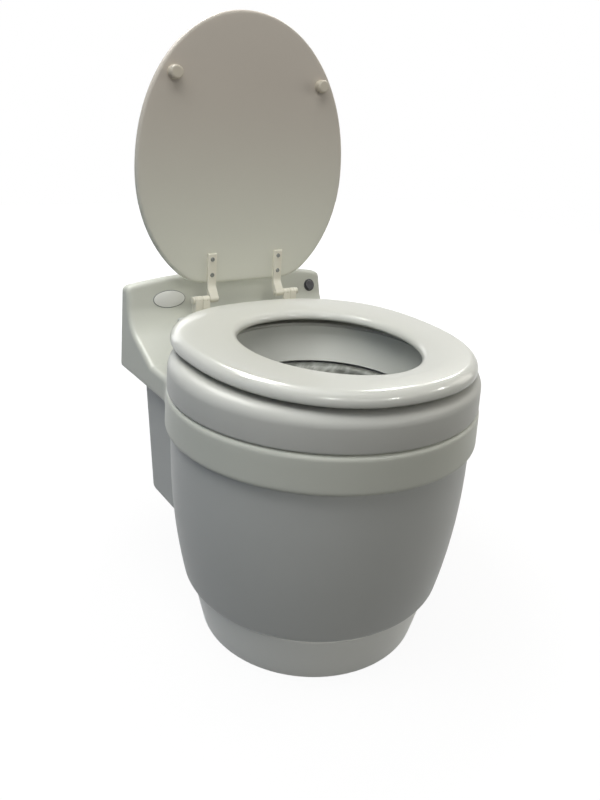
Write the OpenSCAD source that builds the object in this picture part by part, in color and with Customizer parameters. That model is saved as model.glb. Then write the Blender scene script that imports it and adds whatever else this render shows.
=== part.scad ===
// Dry flush toilet: a floor-standing bowl that wraps waste in a foil liner instead of using water.
// Millimetres. The origin is the centre of the flat underside of the base, on the floor.
// +Z is up along the axis of the bowl, -Y is the front, and +X is the side of the flush button.

/* [Base] */
// How far the top of the base is set in from the bottom of the body
base_step = 8.5; // [7:0.5:14]
// How much the base narrows from its top to the floor
base_flare = 16; // [10:0.5:22]
// Height of the base
base_h = 66; // [52:1:80]
// Wall of the base
base_wall = 4; // [3:0.5:6]
// Width of the ledge inside the top of the base
base_ledge_w = 11; // [9:0.5:14]

/* [Body] */
// Outer radius of the band, which the body, the ring and the seat follow
band_r = 207.4; // [200:0.2:214]
// How far the band stands out from the body
band_step = 7.9; // [5.5:0.1:10]
// How much the body narrows from the band to its rounded bottom corner
body_taper = 26; // [20:0.5:28]
// Height of the body between the base and the band
body_h = 211; // [195:1:230]
// How fast the side of the body bellies out
body_belly = 2.2; // [1.6:0.1:3]
// Radius of the rounded bottom corner of the body
body_corner_r = 11; // [6:1:14]
// Wall of the body
body_wall = 4; // [3:0.5:5]

/* [Rear housing] */
// How far each side of the rear housing is set in from the console
rear_side_in = 20.5; // [16:0.5:32]
// How far the top of the rear face is set in from the back of the console
rear_back_in = 37; // [30:1:42]
// Forward slope of the rear face, in millimetres for each millimetre down
rear_slope = 0.25; // [0.15:0.01:0.28]
// Height of the underside of the rear housing above the base
rear_rise = 52; // [40:1:60]
// Radius of the upright corners of the rear housing
rear_corner_r = 16; // [10:1:24]

/* [Upper housing] */
// Height of the band round the top of the body
band_h = 48; // [40:1:56]
// Wall of the upper housing
band_wall = 4; // [3:0.5:5]
// Radius of the band's top and bottom shoulders
band_round = 7; // [3:0.5:8]
// How far each side of the console is set in from the band
console_side_in = 33.4; // [28:0.2:39]
// Depth of the console at its top
console_depth = 20; // [16:1:26]
// Height of the console top above the band
console_rise = 90; // [82:1:98]
// How much higher the arched console top is in its middle than at its ends
console_crown = 15; // [8:0.5:18]
// Height of the console underside above the band's lower edge
console_lift = 9; // [7:0.5:12]
// Distance from the hinge axis back to the edge where the console's face meets its top
console_behind = 52.4; // [48:0.2:54]
// Backward lean of the console face
face_lean = 14; // [10:1:18]
// Slope of the floor of the scoop
scoop_slope = 24.5; // [20:0.5:28]
// How far the foot of the scoop is set in from the band
scoop_in = 33.4; // [26:0.2:42]
// Radius where the scoop turns up into the face
scoop_r = 55; // [30:1:60]
// Radius of the console's top corners seen from the front
console_corner_r = 10; // [6:1:16]
// Radius of the console's top edges seen from the side
console_edge_r = 7; // [3:0.5:9]

/* [Bowl ring] */
// Height of the bowl ring above the band
ring_h = 44.6; // [38:0.2:50]
// How far the bowl ring is set in from the band
ring_step = 1; // [0.6:0.1:2]
// Wall of the bowl ring
ring_wall = 4; // [3:0.5:5]
// Radius of the ring's top shoulder
ring_round = 16; // [6:1:18]
// Width of the ring's top, from its outside to the bowl opening
ring_top_w = 58.4; // [55:0.2:62]
// How far the lip of the bowl skirt stands out from the bore of the core
skirt_over = 4.5; // [3:0.5:8]
// Wall of the bowl skirt
skirt_wall = 3; // [2:0.5:4]
// How far the hinge shelf reaches behind the hinge axis
shelf_behind = 19.4; // [15:0.2:22]
// Width of the hinge shelf
shelf_w = 214; // [204:2:230]
// Thickness of the hinge shelf
shelf_t = 10; // [7:0.5:12]

/* [Seat] */
// How far the side of the seat is set in from the bowl ring
seat_side_in = 16.9; // [13:0.1:20]
// How far the front of the seat is set in from the bowl ring
seat_front_in = 4.4; // [0:0.1:8]
// Distance between the hinge axis and the rear edge of the seat
seat_rear_gap = 10.6; // [10:0.1:16]
// Distance of the widest line behind the bowl axis
seat_mid_y = 18; // [14:1:20]
// Thickness of the seat at its crown
seat_t = 20; // [17:0.5:22]
// Squareness of the seat outline, where 2 is an ellipse
seat_n = 2.2; // [2:0.05:2.4]
// Width of the seat at its sides
seat_side_w = 78.5; // [74:0.5:84]
// Width of the seat at its front
seat_front_w = 64; // [58:1:72]
// Width of the seat at its rear
seat_rear_w = 94; // [88:1:100]
// Distance of the hole's widest line behind the bowl axis
hole_mid_y = 26; // [22:1:30]
// Radius of the seat's outer top edge
seat_edge_r = 14; // [6:0.5:15]
// Height of the rubber bumpers under the seat
bumper_h = 6.4; // [6:0.1:9]

/* [Lid] */
// How far the side of the lid is set in from the seat
lid_side_in = 12; // [8:0.5:18]
// How far the closed lid reaches past the front of the seat
lid_over = 9.4; // [0:0.2:14]
// Distance from the hinge axis to the straight foot of the lid
lid_foot = 21.5; // [18:0.5:26]
// How far the lid's curve would reach below its widest line without the straight foot
lid_down = 200; // [195:1:206]
// Blend between the foot and the curve of the lid
lid_foot_r = 16; // [6:1:24]
// Distance of the lid's widest line from the hinge axis
lid_mid = 198; // [196:1:204]
// Thickness of the lid
lid_t = 10.5; // [9:0.5:14]
// Lean of the open lid past upright
lid_lean = 1.2; // [1:0.1:4]
// Squareness of the lid outline, where 2 is an ellipse
lid_n = 2.05; // [2:0.05:2.4]
// Gap between the hinge axis and the inner face of the lid
lid_offset = 10; // [9:0.5:13]
// Half the distance between the two lid bumpers
lid_bumper_x = 124.5; // [115:0.5:130]
// Distance of the lid bumpers from the hinge axis
lid_bumper_up = 327; // [318:1:335]
// Radius of a lid bumper
lid_bumper_r = 10; // [7:0.5:12]

/* [Hinges] */
// Distance of the hinge axis behind the bowl ring
hinge_behind = 8.2; // [7:0.2:11]
// Height of the hinge axis above the crown of the seat
hinge_up = 2.5; // [2:0.1:5]
// Distance from the middle of the seat to the inner end of each hinge
hinge_x = 51; // [45:1:60]
// Outer radius of the hinge knuckles
knuckle_r = 5.6; // [5:0.1:6.4]
// Radius of the hinge pins
pin_r = 2.5; // [2:0.1:3]
// Running clearance round the hinge pins
pin_gap = 0.05; // [0.03:0.01:0.1]
// Width of a lid arm
arm_w = 14; // [12:0.5:16]
// Width of the seat and post knuckles
knuckle_w = 12; // [10:0.5:14]
// Gap between neighbouring knuckles
knuckle_gap = 0.3; // [0.2:0.05:0.5]
// Height of the lid arms above the hinge axis
arm_h = 68; // [60:1:76]
// Thickness of the lid arms and seat leaves
arm_t = 4.6; // [4:0.1:5]
// Radius of the hinge screws
screw_r = 2; // [1.6:0.1:2.4]

/* [Flush button] */
// Distance of the button from the side of the console
button_in = 24; // [22:1:34]
// Distance of the button below the console top
button_drop = 22; // [19:1:29]
// Radius of the button
button_r = 8; // [6:0.5:9]
// Travel of the button
button_travel = 3; // [2:0.5:4]
// Width of the ring round the button
bezel_w = 2; // [1.5:0.25:3]
// Sliding clearance round the button
button_gap = 0.3; // [0.2:0.05:0.4]

/* [Drive] */
// How far the pitch line of the turntable is set in from the top of the body
gear_in = 31.5; // [30:0.5:36]
// Number of teeth on the turntable
table_teeth = 84; // [80:1:85]
// Number of teeth on the pinion
pinion_teeth = 16; // [15:1:18]
// Half of the backlash along the pitch line
backlash = 0.2; // [0.15:0.05:0.3]
// Thickness of the gears
gear_t = 10; // [8:0.5:12]
// Angle of the motor from the rear centre line
motor_angle = 18; // [14:1:22]
// Radius of the drive motor
motor_r = 17.5; // [15:0.5:19]
// Length of the drive motor
motor_l = 62; // [50:1:66]
// Distance from the band down to the drive deck's upper face
deck_drop = 35; // [34:1:41]
// Thickness of the drive deck
deck_t = 4; // [3:0.5:5]
// Gap between the cartridge core and the opening in the drive deck
deck_hole_gap = 2; // [1:0.5:4]

/* [Liner cartridge] */
// Distance from the outside of the magazine to the bore of the core
liner_room = 42; // [40:0.5:46]
// Wall of the cartridge core
core_wall = 3; // [2:0.25:3.5]
// How far the magazine is set in from the pitch line of the turntable
magazine_in = 10; // [8:0.5:16]
// Wall of the magazine
magazine_wall = 2.5; // [2:0.25:3]
// Height of the magazine
magazine_h = 52; // [44:1:54]
// Thickness given to the liner film
film_t = 1.2; // [1:0.1:1.4]
// Depth of the liner below the drive deck
liner_drop = 77; // [66:1:90]

/* [Electrics] */
// Length of the battery
battery_l = 90; // [80:1:100]
// Depth of the battery
battery_d = 40; // [34:1:42]
// Height of the battery
battery_h = 62; // [50:1:66]
// Radius of the blower
blower_r = 31; // [27:0.5:32]
// Height of the blower
blower_h = 22; // [18:0.5:24]
// Width of the control board
board_w = 120; // [90:1:130]
// Height of the control board
board_h = 42; // [36:1:44]

/* [Hidden] */
$fn = 96;

// Clearance between pieces that move past each other
gap = 0.3;
// Overshoot of a cut past the face it leaves through
eps = 1;

// Radii, from the band inwards
body_top_r = band_r - band_step;
body_low_r = body_top_r - body_taper;
base_top_r = body_low_r - base_step;
base_foot_r = base_top_r - base_flare;
ring_r = band_r - ring_step;
ring_mouth_r = ring_r - ring_top_w;
table_pitch_r = body_top_r - gear_in;
magazine_r = table_pitch_r - magazine_in;
core_r = magazine_r - liner_room;
core_out_r = core_r + core_wall;
deck_hole_r = core_out_r + deck_hole_gap;
skirt_lip_r = core_r + skirt_over;

// Distances behind the bowl axis, and widths
hinge_y = ring_r + hinge_behind;
shelf_y = hinge_y + shelf_behind;
console_front_y = hinge_y + console_behind;
console_back_y = console_front_y + console_depth;
rear_top_y = console_back_y - rear_back_in;
scoop_foot_y = band_r - scoop_in;
console_w = 2 * (band_r - console_side_in);
rear_w = console_w - 2 * rear_side_in;
button_x = console_w / 2 - button_in;

// Heights, from the floor up
body_z = base_h;
rear_bottom_z = body_z + rear_rise;
band_z = body_z + body_h;
band_top_z = band_z + band_h;
console_z = band_z + console_lift;
console_top_z = band_top_z + console_rise;
crown_z = console_top_z + console_crown;
button_z = console_top_z - button_drop;
deck_z = band_z - deck_drop;
liner_bottom_z = deck_z - liner_drop;
ring_z = band_top_z + gap;
ring_top_z = ring_z + ring_h;
seat_z = ring_top_z + gap + bumper_h;
seat_top_z = seat_z + seat_t;
hinge_z = seat_top_z + hinge_up;

// Reaches of the seat, its hole and the lid, each from its own widest line
seat_a = ring_r - seat_side_in;
seat_front = ring_r - seat_front_in + seat_mid_y;
seat_rear = hinge_y - seat_rear_gap - seat_mid_y;
hole_a = seat_a - seat_side_w;
hole_front = seat_front - seat_mid_y - seat_front_w + hole_mid_y;
hole_rear = seat_mid_y + seat_rear - seat_rear_w - hole_mid_y;
lid_a = seat_a - lid_side_in;
lid_up = hinge_y - seat_mid_y + seat_front + lid_over - lid_mid;

// Rows of points along an arc, in degrees
function arc(c, r, a0, a1, n) = [for (i = [0:n]) let (a = a0 + (a1 - a0) * i / n)
    [c[0] + r * cos(a), c[1] + r * sin(a)]];

module ring_of(count, r, start = 0) {
    for (i = [0:count - 1]) rotate([0, 0, start + i * 360 / count]) translate([r, 0, 0]) children();
}

module both_sides() {
    children();
    mirror([1, 0, 0]) children();
}

// Pan-head screw with its head's underside at the origin and its shank down
module screw(r, length, head_r, head_h) {
    difference() {
        union() {
            translate([0, 0, -length]) cylinder(r = r, h = length + 0.5, $fn = 32);
            cylinder(r1 = head_r, r2 = head_r * 0.8, h = head_h, $fn = 32);
        }
        for (a = [0, 90]) rotate([0, 0, a]) translate([-head_r * 0.55, -0.5, head_h - 1])
            cube([head_r * 1.1, 1, 2]);
    }
}

// Base
ledge_r = base_top_r - base_wall - base_ledge_w;
base_screw_r = 2.5;
base_screw_at = base_top_r - base_wall - base_ledge_w / 2;
base_boss_h = 22;
module base_plinth() color([0.93, 0.93, 0.91]) difference() {
    union() {
        rotate_extrude() polygon([
            [0, 0], [base_foot_r - 3, 0], [base_foot_r, 3], [base_top_r, base_h - 3],
            [base_top_r - 3, base_h], [ledge_r, base_h], [ledge_r, base_h - base_wall],
            [base_top_r - base_wall * 1.1, base_h - base_wall], [base_foot_r - base_wall, base_wall],
            [0, base_wall]
        ]);
        ring_of(4, base_screw_at, 45) translate([0, 0, base_h - base_boss_h])
            cylinder(r = base_ledge_w / 2, h = base_boss_h - 1);
    }
    ring_of(4, base_screw_at, 45) translate([0, 0, base_h - base_boss_h + base_wall])
        cylinder(r = base_screw_r, h = base_boss_h);
}
module base_screws() color([0.7, 0.7, 0.72]) ring_of(4, base_screw_at, 45)
    translate([0, 0, base_h + body_wall]) screw(base_screw_r - 0.05, 18, 4.6, 3);

// Body
function body_out(z) = body_top_r - (body_top_r - body_low_r) * pow(1 - (z - body_z) / body_h, body_belly);
body_steps = 14;
corner_top_z = body_z + body_corner_r;
corner_c = [body_out(corner_top_z) - body_corner_r, corner_top_z];
body_side = [for (i = [1:body_steps]) let (z = corner_top_z + (band_z - corner_top_z) * i / body_steps)
    [body_out(z), z]];
body_inner = [for (i = [body_steps:-1:0]) let (z = corner_top_z + (band_z - corner_top_z) * i / body_steps)
    [body_out(z) - body_wall, z]];
body_lip_r = ledge_r - 0.5;
rear_tilt = atan(rear_slope);
function rear_y(z) = rear_top_y - (console_z - z) * rear_slope;

// Solid of the rear housing, drawn in by a wall
module rear_block(inset) {
    half = rear_w / 2 - inset - rear_corner_r;
    low = rear_bottom_z + inset;
    front = body_low_r * 0.6;
    hull() both_sides() {
        translate([half, rear_y(console_z) - inset - rear_corner_r, console_z - 1])
            cylinder(r = rear_corner_r, h = inset > 0 ? 2 : 1, $fn = 32);
        translate([half, rear_y(low) - inset - rear_corner_r, low + rear_corner_r / 2])
            cylinder(r = rear_corner_r, h = 1, $fn = 32);
        translate([half, rear_y(low) - inset - rear_corner_r, low])
            cylinder(r = rear_corner_r * 0.6, h = 1, $fn = 32);
        translate([half, front, low]) cylinder(r = rear_corner_r * 0.6, h = 1, $fn = 32);
        translate([half, front, low + rear_corner_r / 2]) cylinder(r = rear_corner_r, h = 1, $fn = 32);
        translate([half, front, console_z - 1])
            cylinder(r = rear_corner_r, h = inset > 0 ? 2 : 1, $fn = 32);
    }
}

// Frame on the sloping rear face, with local Z pointing out of it
module on_rear_face(z) translate([0, rear_y(z), z]) rotate([-90 - rear_tilt, 0, 0]) children();

// Distance from each side of the rear housing to the cover
cover_side_in = 54;
cover_w = rear_w - 2 * cover_side_in;
cover_h = 104;
cover_t = 3;
// Height of the cover's middle above the rear housing's underside
cover_up = 82;
cover_z = rear_bottom_z + cover_up;
cover_lap = 10;
cover_screw_r = 1.8;
// Vent slots in the cover
slot_count = 7;
slot_l = 44;
slot_w = 2.6;
slot_pitch = 6;
module cover_corners() for (x = [-1, 1], y = [-1, 1])
    translate([x * (cover_w - cover_lap) / 2, y * (cover_h - cover_lap) / 2, 0]) children();

deck_out_r = body_out(deck_z - deck_t) - body_wall - 1.5;
deck_screw_at = deck_out_r - 7;
deck_screw_angles = [20, 160, 235, 305];
deck_screw_r = 2;
// Depth of the screw holes in the bosses
deck_bore_h = 16;
boss_r = 8;
boss_h = 30;
deck_under_z = deck_z - deck_t;
// Ledges on the side walls of the rear housing, under the deck
ledge_w = 12;
ledge_back = 42;
ledge_y = rear_y(deck_under_z) - ledge_back;
module deck_bosses() {
    for (a = deck_screw_angles) rotate([0, 0, a]) {
        translate([deck_screw_at, 0, deck_under_z - boss_h]) cylinder(r = boss_r - 2, h = boss_h, $fn = 32);
        translate([deck_screw_at, -2, deck_under_z - boss_h]) cube([body_out(deck_under_z - boss_h)
            - body_wall / 2 - deck_screw_at, 4, boss_h]);
    }
}
module body_shell() color([0.80, 0.83, 0.83]) difference() {
    union() {
        difference() {
            union() {
                rotate_extrude() polygon(concat(
                    [[body_lip_r - 3, body_z - base_wall - 4], [body_lip_r, body_z - base_wall - 4],
                     [body_lip_r, body_z]],
                    arc(corner_c, body_corner_r, -90, 0, 6), body_side,
                    [[0, band_z], [0, body_z + body_wall], [body_lip_r - 3, body_z + body_wall]]));
                rear_block(0);
            }
            rotate_extrude() polygon(concat(
                [[0, band_z + console_lift + eps], [body_top_r - body_wall, band_z + console_lift + eps]],
                body_inner, [[corner_c[0], body_z + body_wall], [0, body_z + body_wall]]));
            translate([0, 0, band_z]) difference() {
                cylinder(r = band_r + 1, h = console_lift + eps);
                translate([-console_w / 2, body_low_r, -eps]) cube([console_w, console_w, 40]);
            }
            rear_block(body_wall);
        }
        deck_bosses();
        both_sides() translate([rear_w / 2 - body_wall - ledge_w, ledge_y, deck_under_z - boss_h])
            cube([ledge_w + 1, ledge_w, boss_h]);
        on_rear_face(cover_z) translate([0, 0, -body_wall - 4]) cover_corners()
            cylinder(r = 5, h = 5, $fn = 32);
    }
    on_rear_face(cover_z) {
        translate([-cover_w / 2 + 2 * cover_lap, -cover_h / 2 + 2 * cover_lap, -20])
            cube([cover_w - 4 * cover_lap, cover_h - 4 * cover_lap, 30]);
        translate([0, 0, -body_wall - 6]) cover_corners() cylinder(r = cover_screw_r, h = 12, $fn = 32);
    }
    for (a = deck_screw_angles) rotate([0, 0, a])
        translate([deck_screw_at, 0, deck_under_z - deck_bore_h])
            cylinder(r = deck_screw_r, h = deck_bore_h + 4, $fn = 32);
    ring_of(4, base_screw_at, 45) translate([0, 0, body_z - eps]) cylinder(r = base_screw_r + 0.2, h = 8);
}
module rear_cover() color([0.80, 0.83, 0.83]) on_rear_face(cover_z) difference() {
    union() {
        translate([-cover_w / 2, -cover_h / 2, 0]) cube([cover_w, cover_h, cover_t]);
        translate([-cover_w / 2 + 2 * cover_lap + 0.4, -cover_h / 2 + 2 * cover_lap + 0.4, -2])
            cube([cover_w - 4 * cover_lap - 0.8, cover_h - 4 * cover_lap - 0.8, 3]);
    }
    for (i = [0:slot_count - 1]) translate([-cover_w / 4 - slot_l / 2, (i - 2.5) * slot_pitch, -5])
        cube([slot_l, slot_w, 12]);
    translate([0, 0, -5]) cover_corners() cylinder(r = cover_screw_r + 0.3, h = 12, $fn = 32);
}
module rear_cover_screws() color([0.6, 0.6, 0.62]) on_rear_face(cover_z) translate([0, 0, cover_t])
    cover_corners() screw(cover_screw_r - 0.05, 9, 3.4, 2);

// Upper housing: the band and the console in one moulding, with the scoop between them
function face_y(z) = console_front_y - (console_top_z - z) * tan(face_lean);
scoop_foot_z = band_top_z - 3;
// How far the console block runs forward into the band
console_tail = 70;
// Where the line of the face and the line of the scoop floor cross
scoop_x = (console_front_y - (console_top_z - scoop_foot_z) * tan(face_lean) - scoop_foot_y)
    / (1 - tan(scoop_slope) * tan(face_lean));
scoop_corner = [scoop_foot_y + scoop_x, scoop_foot_z + scoop_x * tan(scoop_slope)];
scoop_turn = 90 - face_lean - scoop_slope;
scoop_run = scoop_r * tan(scoop_turn / 2);
scoop_c = [scoop_corner[0] - scoop_run * cos(scoop_slope) - scoop_r * sin(scoop_slope),
    scoop_corner[1] - scoop_run * sin(scoop_slope) + scoop_r * cos(scoop_slope)];
crown_edge_r = min(console_edge_r, (console_back_y - face_y(crown_z)) / 2 - 0.5);
// Side view of the console, as points of Y and Z
function console_side(inset) = concat(
    [[scoop_foot_y - console_tail, console_z + inset], [scoop_foot_y - console_tail, scoop_foot_z - inset],
     [scoop_foot_y + inset * tan(scoop_slope / 2), scoop_foot_z - inset]],
    arc(scoop_c, scoop_r + inset, -90 + scoop_slope, -face_lean, 10),
    arc([face_y(crown_z - crown_edge_r) + crown_edge_r / cos(face_lean), crown_z - crown_edge_r],
        crown_edge_r - inset, 180 - face_lean, 90, 5),
    arc([console_back_y - crown_edge_r, crown_z - crown_edge_r], crown_edge_r - inset, 90, 0, 5),
    [[console_back_y - inset, console_z + inset]]);
// Arch of the console top, and the corners that it turns down into
arch_r = (pow(console_w / 2, 2) + pow(console_crown, 2)) / (2 * console_crown);
arch_c = crown_z - arch_r;
corner_x = console_w / 2 - console_corner_r;
corner_z = arch_c + sqrt(pow(arch_r - console_corner_r, 2) - pow(corner_x, 2));
corner_turn = atan2(corner_z - arch_c, corner_x);
arch_steps = 24;
// Front view of the console, as points of X and Z
function console_front(inset) = concat(
    [[console_w / 2 - inset, console_z + inset]],
    arc([corner_x, corner_z], console_corner_r - inset, 0, corner_turn, 5),
    [for (i = [1:arch_steps - 1]) let (a = corner_turn + (180 - 2 * corner_turn) * i / arch_steps)
        [(arch_r - inset) * cos(a), arch_c + (arch_r - inset) * sin(a)]],
    arc([-corner_x, corner_z], console_corner_r - inset, 180 - corner_turn, 180, 5),
    [[-console_w / 2 + inset, console_z + inset]]);
module console_block(inset) intersection() {
    translate([console_w / 2 - inset, 0, 0]) rotate([0, -90, 0]) linear_extrude(console_w - 2 * inset)
        polygon([for (p = console_side(inset)) [p[1], p[0]]]);
    translate([0, console_back_y, 0]) rotate([90, 0, 0]) linear_extrude(console_back_y)
        polygon(console_front(inset));
}
pocket_r = ring_r + 1.2;
housing_deck_t = 3;
housing_hole_r = band_r - 32;
flange_r = body_top_r - 9;
floor_hole_w = rear_w - 2 * body_wall - 2;
floor_hole_y = rear_y(console_z) - body_wall - 1;

// Frame on the console face at the button, with local Z pointing out of it
module on_face(x, z) translate([x, face_y(z), z]) rotate([90 - face_lean, 0, 0]) children();
bezel_r = button_r + button_gap + bezel_w;
bezel_depth = 9;
board_y = console_back_y - band_wall - 9;
board_z = console_top_z - band_wall - 6 - board_h;
jack_x = console_w / 2 - 54;
jack_z = console_z + 26;
jack_r = 6;
module board_posts(r, y0, length) for (x = [-1, 1], z = [5, board_h - 5])
    translate([x * (board_w / 2 - 6), y0, board_z + z]) rotate([-90, 0, 0])
        cylinder(r = r, h = length, $fn = 32);
module upper_housing() color([0.84, 0.86, 0.85]) difference() {
    union() {
        difference() {
            union() {
                rotate_extrude($fn = 128) polygon(concat([[0, band_z]],
                    arc([band_r - band_round, band_z + band_round], band_round, -90, 0, 5),
                    arc([band_r - band_round, band_top_z - band_round], band_round, 0, 90, 5),
                    [[0, band_top_z]]));
                console_block(0);
            }
            // Room inside the band
            translate([0, 0, band_z + band_wall])
                cylinder(r = band_r - band_wall, h = band_h - band_wall - housing_deck_t, $fn = 128);
            translate([0, 0, band_z - eps]) cylinder(r = flange_r, h = 2 * band_wall, $fn = 128);
            translate([0, 0, band_z]) cylinder(r = housing_hole_r, h = band_h + eps, $fn = 128);
            // Pocket that the bowl ring drops into
            translate([0, 0, band_top_z]) cylinder(r = pocket_r, h = console_top_z, $fn = 128);
            // Room inside the console, behind the pocket
            difference() {
                console_block(band_wall);
                translate([0, 0, band_z - eps])
                    cylinder(r = pocket_r + band_wall, h = console_top_z, $fn = 128);
            }
            // Opening in the console floor over the rear housing
            difference() {
                translate([-floor_hole_w / 2, 0, console_z - eps])
                    cube([floor_hole_w, floor_hole_y, band_wall + 2 * eps]);
                translate([0, 0, band_z - eps])
                    cylinder(r = pocket_r + band_wall, h = console_top_z, $fn = 128);
            }
        }
        intersection() {
            board_posts(4, board_y + 1.6, 20);
            console_block(1);
        }
    }
    board_posts(1.3, board_y - eps, 9);
    on_face(button_x, button_z) translate([0, 0, -20]) cylinder(r = bezel_r - bezel_w / 2, h = 30);
    translate([jack_x, console_back_y + eps, jack_z]) rotate([90, 0, 0]) cylinder(r = jack_r + 0.2, h = 12);
}

// Flush button and its ring, square to the face
module flush_bezel() color([0.16, 0.16, 0.17]) on_face(button_x, button_z) difference() {
    union() {
        translate([0, 0, -bezel_depth]) cylinder(r = bezel_r - bezel_w / 2 - 0.1, h = bezel_depth + 1);
        rotate_extrude() polygon([[button_r, 0.05], [bezel_r, 0.05], [bezel_r, 0.8], [bezel_r - 0.8, 1.6],
            [button_r + button_gap + 0.5, 1.6], [button_r, 1]]);
    }
    translate([0, 0, -bezel_depth - eps]) cylinder(r = button_r + button_gap, h = bezel_depth + 4);
}
button_back = bezel_depth - button_travel - 1;
module flush_button() color([0.07, 0.07, 0.08]) on_face(button_x, button_z) rotate_extrude() polygon(concat(
    [[0, -button_back], [button_r - 1, -button_back], [button_r - 1, -2.4], [button_r, -2.4], [button_r, 2.2]],
    arc([button_r - 1.2, 2.2], 1.2, 0, 90, 4), [[0, 3]]));
module flush_switch() color([0.2, 0.2, 0.22]) on_face(button_x, button_z) difference() {
    union() {
        translate([0, 0, -bezel_depth - 6]) cylinder(r = bezel_r - bezel_w / 2 - 0.4, h = 6);
        translate([0, 0, -bezel_depth - 1])
            cylinder(r = 2, h = bezel_depth - button_back - button_travel + 0.7);
    }
    translate([0, 0, -bezel_depth - 7]) for (x = [-1, 1]) translate([x * 3, 0, 0]) cylinder(r = 0.8, h = 3);
}
module charge_jack() color([0.12, 0.12, 0.13]) translate([jack_x, console_back_y, jack_z]) rotate([-90, 0, 0])
    difference() {
        union() {
            translate([0, 0, -12]) cylinder(r = jack_r, h = 12);
            cylinder(r1 = jack_r + 3, r2 = jack_r + 2.4, h = 2);
        }
        translate([0, 0, -9]) difference() {
            cylinder(r = 3.4, h = 12);
            translate([0, 0, -1]) cylinder(r = 1, h = 9);
        }
    }
board_t = 1.6;
module control_board() color([0.10, 0.35, 0.20]) {
    difference() {
        translate([-board_w / 2, board_y, board_z]) cube([board_w, board_t, board_h]);
        board_posts(1.6, board_y - eps, 9);
    }
    translate([-24, board_y - 3, board_z + 12]) cube([18, 3, 18]);
    translate([14, board_y - 4, board_z + 14]) cube([10, 4, 10]);
    for (i = [0:3]) translate([34 + i * 6, board_y, board_z + 16]) rotate([90, 0, 0])
        cylinder(r = 2, h = 4, $fn = 32);
}

// Battery in the rear housing
battery_side = 24;
battery_back = 8;
battery_x = -rear_w / 2 + body_wall + battery_side;
battery_y = rear_y(rear_bottom_z) - body_wall - battery_back - battery_d;
terminal_r = 3;
terminals = [12, 30];
battery_z = rear_bottom_z + body_wall;
module battery_pack() color([0.22, 0.24, 0.28]) {
    translate([battery_x, battery_y, battery_z]) cube([battery_l, battery_d, battery_h]);
    for (x = terminals) translate([battery_x + x, battery_y + battery_d / 2, battery_z + battery_h - 0.5])
        cylinder(r = terminal_r, h = 5, $fn = 32);
}
strap_w = 16;
strap_t = 1.5;
strap_gap = 0.2;
strap_tail = 12;
module battery_strap() color([0.12, 0.12, 0.13])
    translate([battery_x + battery_l * 0.62, battery_y, battery_z]) difference() {
        union() {
            translate([0, -strap_t - strap_gap, 0])
                cube([strap_w, battery_d + 2 * (strap_t + strap_gap), battery_h + strap_t + strap_gap]);
            translate([0, -strap_tail, 0]) cube([strap_w, battery_d + strap_tail + strap_t, strap_t]);
        }
        translate([-eps, -strap_gap, -eps])
            cube([strap_w + 2 * eps, battery_d + 2 * strap_gap, battery_h + eps + strap_gap]);
    }

// Drive deck and the turntable with its ring of gear teeth
gear_module = 2 * table_pitch_r / table_teeth;
pinion_pitch_r = gear_module * pinion_teeth / 2;
pinion_at = table_pitch_r + pinion_pitch_r + 0.1;
gear_dir = 90 - motor_angle;
pad_h = 3;
table_z = deck_z + pad_h + gap;
table_bore_r = deck_hole_r + 5 + gap;
shaft_r = 3;
deck_half = rear_w / 2 - body_wall - 4;
deck_back_y = rear_y(deck_under_z) - body_wall - 2;
deck_tail_y = body_low_r * 0.6;
module deck_outline() {
    difference() {
        union() {
            circle(r = deck_out_r);
            translate([-deck_half, deck_tail_y])
                square([2 * deck_half, deck_back_y - rear_corner_r - deck_tail_y]);
            translate([-deck_half + rear_corner_r, deck_tail_y])
                square([2 * (deck_half - rear_corner_r), deck_back_y - deck_tail_y]);
            for (x = [-1, 1]) translate([x * (deck_half - rear_corner_r), deck_back_y - rear_corner_r])
                circle(r = rear_corner_r);
        }
        circle(r = deck_hole_r);
    }
}
// Place of the blower, in from the housing's left side and the deck's rear edge
blower_in = 75.5;
blower_back = 48;
blower_at = [-rear_w / 2 + blower_in, deck_back_y - blower_back];
module drive_deck() color([0.86, 0.86, 0.84]) difference() {
    union() {
        translate([0, 0, deck_under_z]) linear_extrude(deck_t) deck_outline();
        translate([0, 0, deck_z - 0.5]) difference() {
            cylinder(r = deck_hole_r + 5, h = pad_h + gear_t * 0.8);
            translate([0, 0, -eps]) cylinder(r = deck_hole_r, h = pad_h + gear_t + 2 * eps);
        }
    }
    rotate([0, 0, gear_dir]) translate([pinion_at, 0, deck_under_z - eps])
        cylinder(r = 9, h = deck_t + 2 * eps);
    rotate([0, 0, gear_dir]) translate([pinion_at, 0, deck_under_z - eps])
        ring_of(2, 13, 0) cylinder(r = 1.6, h = deck_t + 2 * eps, $fn = 32);
    for (a = deck_screw_angles) rotate([0, 0, a]) translate([deck_screw_at, 0, deck_under_z - eps])
        cylinder(r = deck_screw_r + 0.3, h = deck_t + 2 * eps, $fn = 32);
    ring_of(6, table_pitch_r - 14, 12) translate([0, 0, deck_z - 1.5]) cylinder(r = 7.1, h = 4);
}
module deck_screws() color([0.7, 0.7, 0.72]) for (a = deck_screw_angles) rotate([0, 0, a])
    translate([deck_screw_at, 0, deck_z]) screw(deck_screw_r - 0.05, 14, 3.8, 2);
module glide_pads() color([0.95, 0.95, 0.95]) ring_of(6, table_pitch_r - 14, 12)
    translate([0, 0, deck_z - 1.5]) rotate_extrude() polygon([[0, 0], [7, 0], [7, pad_h + 0.7],
        [6, pad_h + 1.5], [0, pad_h + 1.5]]);

pressure = 20;
function involute(a) = tan(a) * 180 / PI - a;
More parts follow.
